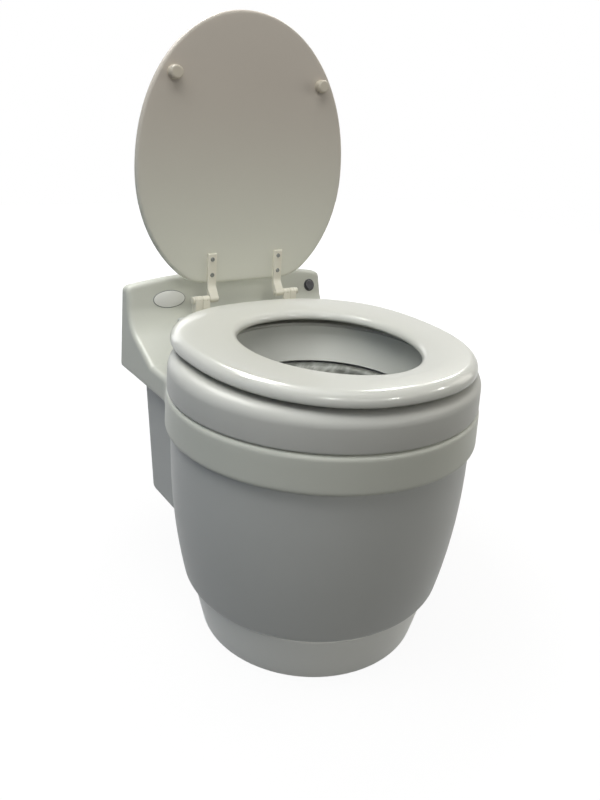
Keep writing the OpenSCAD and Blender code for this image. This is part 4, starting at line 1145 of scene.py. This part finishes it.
    def settle(self, spot: Vector) -> Vector:
        """Puts a point of an open rim on its circle.

        Args:
            spot: The point.

        Returns:
            Its new place.
        """
        off_axis = math.hypot(spot.x, spot.y)
        radius = self.hole_r if spot.z > self.band_low + RIM_ZONE else self.flange_r
        if abs(off_axis - radius) < self.rim_reach:
            return Vector((spot.x * radius / off_axis, spot.y * radius / off_axis, spot.z))
        return spot

    def dress(self) -> None:
        """Builds and finishes the moulding."""
        deliver(self.build(), HOUSING_WHITE, Body.HOUSING, "housing_white", "upper_housing")


@dataclass
class BowlRing:
    """The ring that lifts off, its hinge shelf and the skirt that guides waste down."""

    outer_r: float = high("bowl_ring").x
    foot_z: float = low("bowl_ring").z
    top: float = high("bowl_ring").z
    shoulder: float = 0.016
    wall: float = 0.004
    mouth_r: float = 0.148
    shelf_half: float = 0.107
    shelf_y: float = high("bowl_ring").y
    shelf_t: float = 0.010
    lip_r: float = 0.1255
    lip_z: float = low("bowl_skirt").z + 0.0005
    skirt_wall: float = 0.003
    foot_roll: float = 0.0035
    mouth_edge: float = 0.003
    shelf_run: float = 0.030  # How far the shelf reaches in over the ring
    shelf_sink: float = 0.0004  # Below the top of the ring
    shelf_edge: float = 0.0025
    lip_edge: float = 0.0012
    hollow: float = 0.0015  # How far the side of the skirt bows out
    play: float = 0.0003  # Between the skirt and the mouth of the ring
    skirt_edge: float = 0.0008
    skirt_drop: float = 0.003  # Top of the skirt, below that of the ring
    skirt_taper: float = 0.002  # From its inner face in to the upper end of its side
    collar_out: float = 0.012  # Reach of the collar under the ring, from the mouth
    collar: Flat = (0.011, 0.014)  # Top and underside of the collar, below the top of the ring

    def ring(self) -> bpy.types.Object:
        """Spins the ring's section and joins the hinge shelf to it.

        Returns:
            The ring.
        """
        r, s, w, t = self.outer_r, self.shoulder, self.wall, self.top
        f, m, e = self.foot_roll, self.mouth_r, self.mouth_edge
        profile = [(r - w, self.foot_z)]
        profile += arc((r - f, self.foot_z + f), f, -90, 0, 5)
        profile += arc((r - s, t - s), s, 0, 90, 12)
        profile += arc((m + e, t - e), e, 90, 180, 4)
        profile += [(m, t - 2 * w), (m + e, t - 2 * w), (m + e, t - w)]
        profile += arc((r - s, t - s), s - w, 90, 0, 6)
        ring = spun("ring_shell", profile, 192)
        rest()
        bpy.ops.mesh.primitive_cube_add(size=1.0, location=ORIGIN)
        shelf = named("shelf")
        inner_y = self.outer_r - self.shoulder - self.shelf_run
        spots = points_of(shelf)
        spots[:, 0] *= 2 * self.shelf_half
        spots[:, 1] = np.where(spots[:, 1] > 0, self.shelf_y, inner_y)
        spots[:, 2] = np.where(spots[:, 2] > 0, t - self.shelf_sink, t - self.shelf_t)
        put_points(shelf, spots)
        bevel(shelf, self.shelf_edge, 3)
        combine(ring, shelf, "UNION")
        return smooth(ring, 35)

    def skirt(self) -> bpy.types.Object:
        """Spins the skirt, with a rolled lip and a slightly hollow side.

        Returns:
            The skirt.
        """
        w, e, top = self.skirt_wall, self.lip_edge, self.top - self.skirt_drop
        outer, inner, wide = self.mouth_r - self.play, self.mouth_r - w, self.mouth_r + self.collar_out
        collar_top, collar_low = (self.top - depth for depth in self.collar)
        spread, rise = inner - self.skirt_taper - self.lip_r, collar_low - self.lip_z - e
        side = [(self.lip_r + spread * s + self.hollow * math.sin(math.pi * s), self.lip_z + e + rise * s)
                for s in np.linspace(0.0, 1.0, 14)]
        profile = [(self.lip_r + e, self.lip_z), *side, (inner - self.play, top - 0.001),
                   (inner + self.skirt_edge, top), (outer, top), (outer, collar_top), (wide, collar_top),
                   (wide, collar_low), (self.mouth_r - 0.001, collar_low), (self.lip_r + w, self.lip_z)]
        return smooth(spun("skirt", profile, 192))

    def dress(self) -> None:
        """Builds and finishes the ring and the skirt."""
        deliver(self.ring(), RING_WHITE, Body.SHROUD, "ring_white", "bowl_ring")
        deliver(self.skirt(), SKIRT_GREY, Body.SHROUD, "skirt_grey", "bowl_skirt")


def outline(turn: np.ndarray, half: float, front: float, rear: float, mid: float,
            square: float | np.ndarray) -> np.ndarray:
    """Egg-shaped outline of the seat or lid.

    Args:
        turn: Angles round the outline.
        half: Half the width.
        front: Reach towards negative, from the widest line.
        rear: Reach towards positive, from the widest line.
        mid: Place of the widest line.
        square: Squareness, where 2 is an ellipse.

    Returns:
        The two coordinates of each point.
    """
    wide = np.sign(np.cos(turn)) * np.abs(np.cos(turn)) ** (2 / square)
    along = np.sign(np.sin(turn)) * np.abs(np.sin(turn)) ** (2 / square)
    reach = np.where(along < 0, front, rear)
    return np.stack([half * wide, mid + reach * along], axis=1)


@dataclass
class Seat:
    """The enamelled seat: a domed ring with a soft outer roll and a tight inner one."""

    half: float = high("seat_ring").x
    front: float = 0.220
    rear: float = 0.186
    mid: float = 0.018  # Y of the widest line
    bottom: float = low("seat_ring").z
    thick: float = high("seat_ring").z - low("seat_ring").z
    square: Flat = (2.2, 2.4)  # At the front and at the rear, where 2 is an ellipse
    hole_half: float = 0.115
    hole_front: float = 0.136
    hole_rear: float = 0.129
    hole_mid: float = -0.006
    hole_square: Flat = (1.9, 2.2)  # The same, of the hole
    outer_roll: float = 0.014
    inner_roll: float = 0.010
    inner_lift: float = 0.005  # Rise of the underside towards the hole

    def section(self) -> list[tuple[bool, float, float]]:
        """Points of the section: from the outer edge or not, distance in, height.

        Returns:
            The points, from the underside at the hole over the top to the underside outside.
        """
        hole, edge = False, True
        t, o, i = self.thick, self.outer_roll, self.inner_roll
        lift = self.inner_lift
        rows = [(hole, 0.020, 0.0), (hole, 0.014, lift * 0.3), (hole, 0.008, lift * 0.85)]
        rows += [(hole, 0.004, lift), (hole, 0.0012, lift + 0.0006), (hole, 0.0002, lift + 0.002)]
        rows += [(hole, i * (1 - math.cos(a)), t - 0.002 - i * (1 - math.sin(a)))
                 for a in np.radians(np.linspace(0, 80, 9))]
        rows += [(hole, 0.0135, t - 0.0014), (hole, 0.019, t - 0.0007), (hole, 0.026, t - 0.0001)]
        rows += [(edge, 0.036, t), (edge, 0.028, t - 0.0003), (edge, 0.021, t - 0.0008)]
        rows += [(edge, o * (1 - math.cos(a)), t - 0.0015 - o * (1 - math.sin(a)))
                 for a in np.radians(np.linspace(86, 0, 12))]
        rows += [(edge, 0.0002, 0.003), (edge, 0.0012, 0.0012), (edge, 0.003, 0.0003), (edge, 0.006, 0.0)]
        return rows

    def place(self, turn: np.ndarray, row: np.ndarray) -> np.ndarray:
        """Places of the seat's points.

        Args:
            turn: Angle of each point round the seat.
            row: Number of its point in the section.

        Returns:
            A place for each point.
        """
        rows = self.section()
        ahead = np.sin(turn) < 0
        hole = outline(turn, self.hole_half, self.hole_front, self.hole_rear, self.hole_mid,
                       np.where(ahead, *self.hole_square))
        edge = outline(turn, self.half, self.front, self.rear, self.mid, np.where(ahead, *self.square))
        outwards = (edge - hole) / np.linalg.norm(edge - hole, axis=1)[:, None]
        from_edge = np.array([r[0] for r in rows])[row]
        inset = np.array([r[1] for r in rows])[row][:, None]
        flat = np.where(from_edge[:, None], edge - outwards * inset, hole + outwards * inset)
        return np.column_stack([flat, self.bottom + np.array([r[2] for r in rows])[row]])

    def build(self) -> bpy.types.Object:
        """Lofts the seat round its hole.

        Returns:
            The seat.
        """
        seat = loft("seat", 192, len(self.section()), self.place, joined=True)
        tidy_mesh(seat)
        return smooth(seat, 60)

    def dress(self) -> None:
        """Builds and finishes the seat."""
        deliver(self.build(), SEAT_GLOSS, Body.SEAT, "seat_gloss", "seat_ring")


def on_lid(spots: np.ndarray) -> np.ndarray:
    """Turns points drawn from the hinge axis to where the open lid stands.

    Args:
        spots: X, distance behind the axis and height over it, one row each.

    Returns:
        Their places.
    """
    x, y, z = spots.T
    cos, sin = math.cos(LID_LEAN), math.sin(LID_LEAN)
    return np.column_stack([x, HINGE_AXIS[0] + y * cos + z * sin, HINGE_AXIS[1] - y * sin + z * cos])


@dataclass
class Lid:
    """The thin satin lid, which stands open over the console."""

    half: float = high("lid_panel").x
    up: float = 0.228  # Reach above the widest line
    down: float = 0.200  # Reach below it
    mid: float = 0.198  # Widest line, over the hinge axis
    foot: float = 0.0215  # Straight foot, over the hinge axis
    foot_r: float = 0.016  # Softness of the corners of the foot
    thick: float = 0.0105
    square: float = 2.05
    roll: float = 0.0045

    def section(self) -> list[Flat]:
        """Rows of the lid, as inset from its edge and depth from its inner face.

        Returns:
            The rows, from the middle of the inner face to the middle of the outer one.
        """
        r, t = self.roll, self.thick
        inner = [(0.150, 0.0), (0.120, 0.0), (0.080, 0.0), (0.040, 0.0), (0.016, 0.0), (0.009, 0.0)]
        first = [(r * (1 - math.sin(a)), r * (1 - math.cos(a))) for a in np.radians(np.linspace(0, 90, 6))]
        last = [(r * (1 - math.sin(a)), t - r * (1 - math.cos(a))) for a in np.radians(np.linspace(90, 0, 6))]
        return inner + first + last + [(inset, t) for inset, _ in reversed(inner)]

    def place(self, turn: np.ndarray, row: np.ndarray) -> np.ndarray:
        """Places of the lid's points.

        Args:
            turn: Angle of each point round the lid.
            row: Number of its point in the section.

        Returns:
            A place for each point.
        """
        rows = np.array(self.section())[row]
        ring = outline(turn, 1.0, 1.0, 1.0, 0.0, self.square)
        reach = np.where(ring[:, 1] < 0, self.down, self.up)
        x = ring[:, 0] * (self.half - rows[:, 0])
        z = self.mid + ring[:, 1] * (reach - rows[:, 0])
        foot = self.foot + rows[:, 0]
        z = np.maximum(z, foot) + np.maximum(self.foot_r - np.abs(z - foot), 0.0) ** 2 / (4 * self.foot_r)
        return on_lid(np.column_stack([x, LID_OFFSET + rows[:, 1], z]))

    def build(self) -> bpy.types.Object:
        """Lofts the lid and closes both of its faces.

        Returns:
            The lid.
        """
        lid = loft("lid", 160, len(self.section()), self.place)
        only(lid)
        bpy.ops.object.mode_set(mode="EDIT")
        bpy.ops.mesh.select_all(action="SELECT")
        bpy.ops.mesh.fill_holes(sides=0)
        bpy.ops.object.mode_set(mode="OBJECT")
        tidy_mesh(lid)
        return smooth(lid, 40)

    def dress(self) -> None:
        """Builds and finishes the lid."""
        deliver(self.build(), LID_MATTE, Body.LID, "lid_matte", "lid_panel")


@dataclass
class Liner:
    """The metallised film: over the lip of the core and down into a slack bag."""

    lip_r: float = high("liner_film").x
    lip_z: float = high("liner_film").z
    lip_roll: float = 0.005
    fall_r: float = 0.1145  # Of the film inside the core
    fall_z: float = 0.242  # Where it leaves the core
    bag_z: float = 0.225  # Where the bag begins
    bottom: float = low("liner_film").z
    rows: int = 110
    sides: int = 320
    skin_t: float = 0.0006
    seed: float = 7.3
    taut: float = 0.016  # Length from the hem that stays smooth
    slacken: float = 0.014  # Length over which the crumples grow
    slant: Flat = (0.78, 0.62)  # Cosine and sine of the slant of the folds
    squeeze: Flat = (0.6, 0.3)  # Of the coordinates, which draws the folds out
    least_depth: float = 0.0025
    drift_depth: float = 0.002
    drift_scale: float = 22.0
    fold_depth: float = 0.003
    fold_scale: float = 90.0
    crease_depth: float = 0.0016
    crease_scale: float = 120.0
    flat: Flat = (0.72, 0.236)
    area: float = 0.129  # As modelled, with the bottom gathered

    def path(self) -> list[Flat]:
        """Points of radius and height from the lip's outer hem to the bottom of the bag.

        Returns:
            The points, in order.
        """
        out, up, roll = self.lip_r, self.lip_z, self.lip_roll
        hem = [(out, up - 0.008), (out, up - 0.002), (out - 0.002, up)]
        over = arc((self.fall_r + roll, up - roll), roll, 90, 180, 4)
        drop = [(self.fall_r, self.fall_z), (self.fall_r - 0.003, self.bag_z)]
        wide, deep = self.fall_r - 0.004, self.bag_z - self.bottom - 0.002
        bowl = [(wide * math.cos(a), self.bag_z - deep * math.sin(a))
                for a in np.radians(np.linspace(6, 90, 16))]
        return hem + over + drop + bowl

    def place(self, turn: np.ndarray, row: np.ndarray) -> np.ndarray:
        """Places of the film's points, crumpled by folds and creases.

        Args:
            turn: Angle of each point round the bag.
            row: Number of its row, from the hem down.

        Returns:
            A place for each point.
        """
        path = np.array(self.path())
        length = np.concatenate([[0.0], np.cumsum(np.linalg.norm(np.diff(path, axis=0), axis=1))])
        along = row / (self.rows - 1) * length[-1]
        before, here, after = (np.column_stack([np.interp(along + step, length, axis) for axis in path.T])
                               for step in (-0.001, 0.0, 0.001))
        r, z = here.T
        tangent = after - before
        tangent /= np.maximum(np.linalg.norm(tangent, axis=1), 1e-9)[:, None]
        inward = np.column_stack([tangent[:, 1], -tangent[:, 0]])
        slack = np.clip((along - self.taut) / self.slacken, 0.0, 1.0)
        spots = np.column_stack([r * np.cos(turn), r * np.sin(turn), z])
        depth = slack * np.array([self.crumple(Vector(s)) for s in spots])
        r = np.maximum(r + inward[:, 0] * depth, 0.0)
        z = z + inward[:, 1] * depth
        return np.column_stack([r * np.cos(turn), r * np.sin(turn), z])

    def crumple(self, spot: Vector) -> float:
        """Depth of the folds and creases at a place on the film.

        Args:
            spot: The place.

        Returns:
            How far the film stands in from its smooth path.
        """
        shift = Vector((self.seed, self.seed, self.seed))
        drift = noise.noise(spot * self.drift_scale + shift)
        cos, sin = self.slant
        wide, tall = self.squeeze
        stretched = Vector((spot.z * cos - spot.x * sin, spot.y * wide, (spot.z * sin + spot.x * cos) * tall))
        near = noise.voronoi(stretched * self.fold_scale + shift)[0]
        fine = noise.voronoi(spot * self.crease_scale + shift * 2)[0]
        folds = self.fold_depth * (near[1] - near[0]) + self.crease_depth * (fine[1] - fine[0])
        return self.least_depth + self.drift_depth * abs(drift) + folds

    def build(self) -> bpy.types.Object:
        """Lofts the crumpled film, closes its bottom and gives it a thickness.

        Returns:
            The film.
        """
        film = loft("film", self.sides, self.rows, self.place)
        tidy_mesh(film, 2e-5)
        finish_with(film, "SOLIDIFY", thickness=self.skin_t, offset=0.0)
        return smooth(film, 18)

    def dress(self) -> None:
        """Builds and finishes the film."""
        film = self.build()
        deliver(film, FoilFinish(), Body.TURNTABLE, "foil", "liner_film")


@dataclass
class Hinges:
    """Lid arms, seat leaves, posts and pins, on both sides of the seat."""

    axis: Flat = HINGE_AXIS
    inner_x: float = 0.051  # Inner side of each arm
    arm_w: float = 0.014
    knuckle_w: float = 0.012
    knuckle_gap: float = 0.0003
    knuckle_r: float = 0.0056
    arm_h: float = 0.068
    arm_t: float = 0.0046
    rib_depth: float = 0.00035
    rib_edge: float = 0.0008
    stud_r: float = 0.004
    foot_half: float = 0.010  # Half depth of a foot of a post
    foot_ear: float = 0.008  # Reach of the foot beside the post
    foot_t: float = 0.003
    neck_t: float = 0.0036  # Thickness of the neck between knuckle and plate
    ring_top: float = high("bowl_ring").z

    def barrel(self, name: str, start: float, width: float, ribs: int) -> bpy.types.Object:
        """A ribbed knuckle along X.

        Args:
            name: Name of the piece.
            start: Where it begins, from the middle of the seat.
            width: Its width.
            ribs: Number of raised ribs.

        Returns:
            The knuckle.
        """
        r, dip, lip = self.knuckle_r, self.rib_depth, self.rib_edge
        pitch = width / ribs
        profile: list[Flat] = [(0.0, 0.0), (r - lip, 0.0)]
        for rib in range(ribs):
            z = rib * pitch
            profile += [(r - dip, z + lip * 0.6), (r, z + lip * 1.4), (r, z + pitch - lip * 1.4),
                        (r - dip, z + pitch - lip * 0.6)]
        profile += [(r - lip, width), (0.0, width)]
        barrel = spun(name, profile, 48)
        spots = points_of(barrel)
        put_points(barrel, np.column_stack([start + spots[:, 2], self.axis[0] + spots[:, 0],
                                            self.axis[1] + spots[:, 1]]))
        tidy_mesh(barrel)
        return barrel

    def mirrored(self, obj: bpy.types.Object) -> bpy.types.Object:
        """Adds the same piece on the other side of the seat."""
        finish_with(obj, "MIRROR", use_axis=(True, False, False), use_mirror_merge=False)
        return obj

    def arm(self) -> bpy.types.Object:
        """The strap on the lid that bends forward to its knuckle.

        Returns:
            Both arms.
        """
        back, front = LID_OFFSET, LID_OFFSET - self.arm_t
        r = self.knuckle_r
        side = [(-r * 0.80, r * 0.60), (-r * 0.3, -r * 0.9), (r * 0.5, -r * 0.8), (r * 1.1, 0.0008),
                (back * 0.86, 0.0065), (back * 0.97, 0.011), (back, 0.016), (back, self.arm_h - 0.0012),
                (back - 0.001, self.arm_h), (front + 0.0016, self.arm_h), (front, self.arm_h - 0.0018),
                (front, 0.024), (front - 0.0006, 0.019), (front - 0.0022, 0.0145), (front - 0.0048, 0.0105)]
        placed = on_lid(np.array(across(self.inner_x, side))).tolist()
        arm = pushed("lid_straps", placed, (self.arm_w, 0.0, 0.0))
        bevel(arm, 0.0011, 3, 25)
        combine(arm, self.barrel("arm_knuckle", self.inner_x, self.arm_w, 1), "UNION")
        return smooth(self.mirrored(arm), 40)

    def leaf(self) -> bpy.types.Object:
        """The knuckle and plate screwed under the seat.

        Returns:
            Both leaves.
        """
        start = self.inner_x + self.arm_w + self.knuckle_gap
        leaf = self.barrel("seat_hinge_leaves", start, self.knuckle_w, 2)
        plate_low, seat_z = low("seat_leaves"), low("seat_ring").z
        neck_front, neck_back = self.axis[0] - self.knuckle_r, self.axis[0] - self.knuckle_r + self.neck_t
        neck_top = self.axis[1] - 0.001
        side = [(plate_low.y, plate_low.z), (neck_back, plate_low.z), (neck_back, neck_top),
                (neck_front, neck_top), (neck_front, seat_z), (plate_low.y, seat_z)]
        plate = pushed("leaf_plate", across(start, side), (self.knuckle_w, 0.0, 0.0))
        bevel(plate, 0.0006, 2, 30)
        combine(leaf, plate, "UNION")
        return smooth(self.mirrored(leaf), 40)

    def post(self) -> bpy.types.Object:
        """The post that stands on the hinge shelf, with its foot and stud.

        Returns:
            Both posts.
        """
        start = self.inner_x + self.arm_w + 2 * self.knuckle_gap + self.knuckle_w
        post = self.barrel("hinge_stands", start, self.knuckle_w, 2)
        r, w = self.knuckle_r, self.knuckle_w
        y, z = self.axis
        side = [(y - r, self.ring_top), (y + r, self.ring_top), (y + r, z), (y - r, z)]
        column = pushed("column", across(start, side), (w, 0.0, 0.0))
        bevel(column, 0.0008, 2)
        combine(post, column, "UNION")
        deep, end = self.foot_half, start + w + self.foot_ear
        flat = [(start, y - deep), (start, y + deep), (end, y + deep), (end, y - deep)]
        foot = pushed("foot", [(*spot, self.ring_top) for spot in flat], (0.0, 0.0, self.foot_t))
        bevel(foot, 0.001, 2)
        combine(post, foot, "UNION")
        stud_low, sunk = low("hinge_posts").z, 0.001
        middle = (start + w / 2, y, (self.ring_top + stud_low + sunk) / 2)
        combine(post, cylinder("stud", 32, self.stud_r, self.ring_top - stud_low + sunk, middle), "UNION")
        return smooth(self.mirrored(post), 40)

    def dress(self) -> None:
        """Builds and finishes the hinge pieces."""
        for piece, body, node in ((self.arm(), Body.LID, "lid_arms"), (self.leaf(), Body.SEAT, "seat_leaves"),
                                  (self.post(), Body.SHROUD, "hinge_posts")):
            deliver(piece, HINGE_IVORY, body, "hinge_ivory", node)


@dataclass
class Badge:
    """The bare oval plate on the console face."""

    center: Flat = (-0.108, 0.3915)  # X and Z
    size: Flat = (0.052, 0.027)
    thick: float = 0.0008
    rim: float = 0.0011  # Width that shows round the plate
    proud: float = 0.0004  # Rise of the plate over its rim

    def plate(self, name: str, size: Flat, thick: float) -> bpy.types.Object:
        """A thin oval on the console face.

        Args:
            name: Name of the piece.
            size: Width and height.
            thick: Thickness.

        Returns:
            The oval.
        """
        plate = cylinder(name, 96, 0.5, thick, (0.0, 0.0, thick / 2))
        put_points(plate, points_of(plate) * (*size, 1.0))
        bevel(plate, thick * 0.4, 2)
        housing = UpperHousing()
        face_y = housing.front - (housing.top - self.center[1]) * math.tan(housing.lean)
        turn = Matrix.Translation((self.center[0], face_y, self.center[1]))
        plate.data.transform(turn @ Matrix.Rotation(math.pi / 2 - housing.lean, 4, "X"))
        return smooth(plate, 40)

    def dress(self) -> None:
        """Builds the rim and the bare plate."""
        deliver(self.plate("badge_rim", self.size, self.thick), BADGE_RIM, Body.HOUSING, "housing_white")
        inner = (self.size[0] - 2 * self.rim, self.size[1] - 2 * self.rim)
        face = self.plate("badge_plate", inner, self.thick + self.proud)
        deliver(face, BADGE_PALE, Body.HOUSING, "housing_white")


@dataclass
class Inside:
    """Construction nodes that keep their own shape and take a finish."""

    finishes: tuple[tuple[str, Finish], ...] = (
        ("base_screws", STEEL), ("rear_cover", BODY_WHITE), ("rear_cover_screws", STEEL),
        ("battery_pack", BATTERY_GREY), ("battery_strap", BLACK_RUBBER), ("control_board", BOARD_GREEN),
        ("drive_deck", CARTRIDGE_WHITE), ("deck_screws", STEEL), ("glide_pads", GEAR_ACETAL),
        ("drive_motor", MOTOR_GREY), ("drive_pinion", GEAR_ACETAL), ("turntable", GEAR_ACETAL),
        ("cartridge_magazine", CARTRIDGE_WHITE), ("cartridge_core", CARTRIDGE_WHITE),
        ("liner_pack", MOTOR_GREY), ("fan_housing", BLACK_PLASTIC), ("fan_motor", MOTOR_GREY),
        ("fan_impeller", BLACK_PLASTIC), ("charge_jack", BLACK_PLASTIC), ("rim_seal", BLACK_RUBBER),
        ("hinge_nuts", HINGE_IVORY), ("hinge_pins", HINGE_IVORY), ("seat_bumpers", BUMPER_WHITE),
        ("seat_leaf_screws", STEEL), ("lid_bumpers", BUMPER_WHITE), ("lid_arm_screws", STEEL),
        ("flush_bezel", BLACK_PLASTIC), ("flush_button", BLACK_PLASTIC), ("flush_switch", BLACK_PLASTIC),
    )

    def dress(self) -> None:
        """Puts each finish on its node."""
        for name, finish in self.finishes:
            finish.dress(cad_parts[name])
            LOG.info("%s: dressed with %s", name, finish.name)


def main() -> None:
    """Builds the studio and every part of the object, in order."""
    logging.basicConfig(level=logging.INFO, format="%(name)s: %(message)s")
    Studio().build()
    for part in (Inside(), BasePlinth(), BodyShell(), UpperHousing(), BowlRing(), Liner(), Seat(), Lid(),
                 Hinges(), Badge()):
        part.dress()


if __name__ == "__main__":
    main()
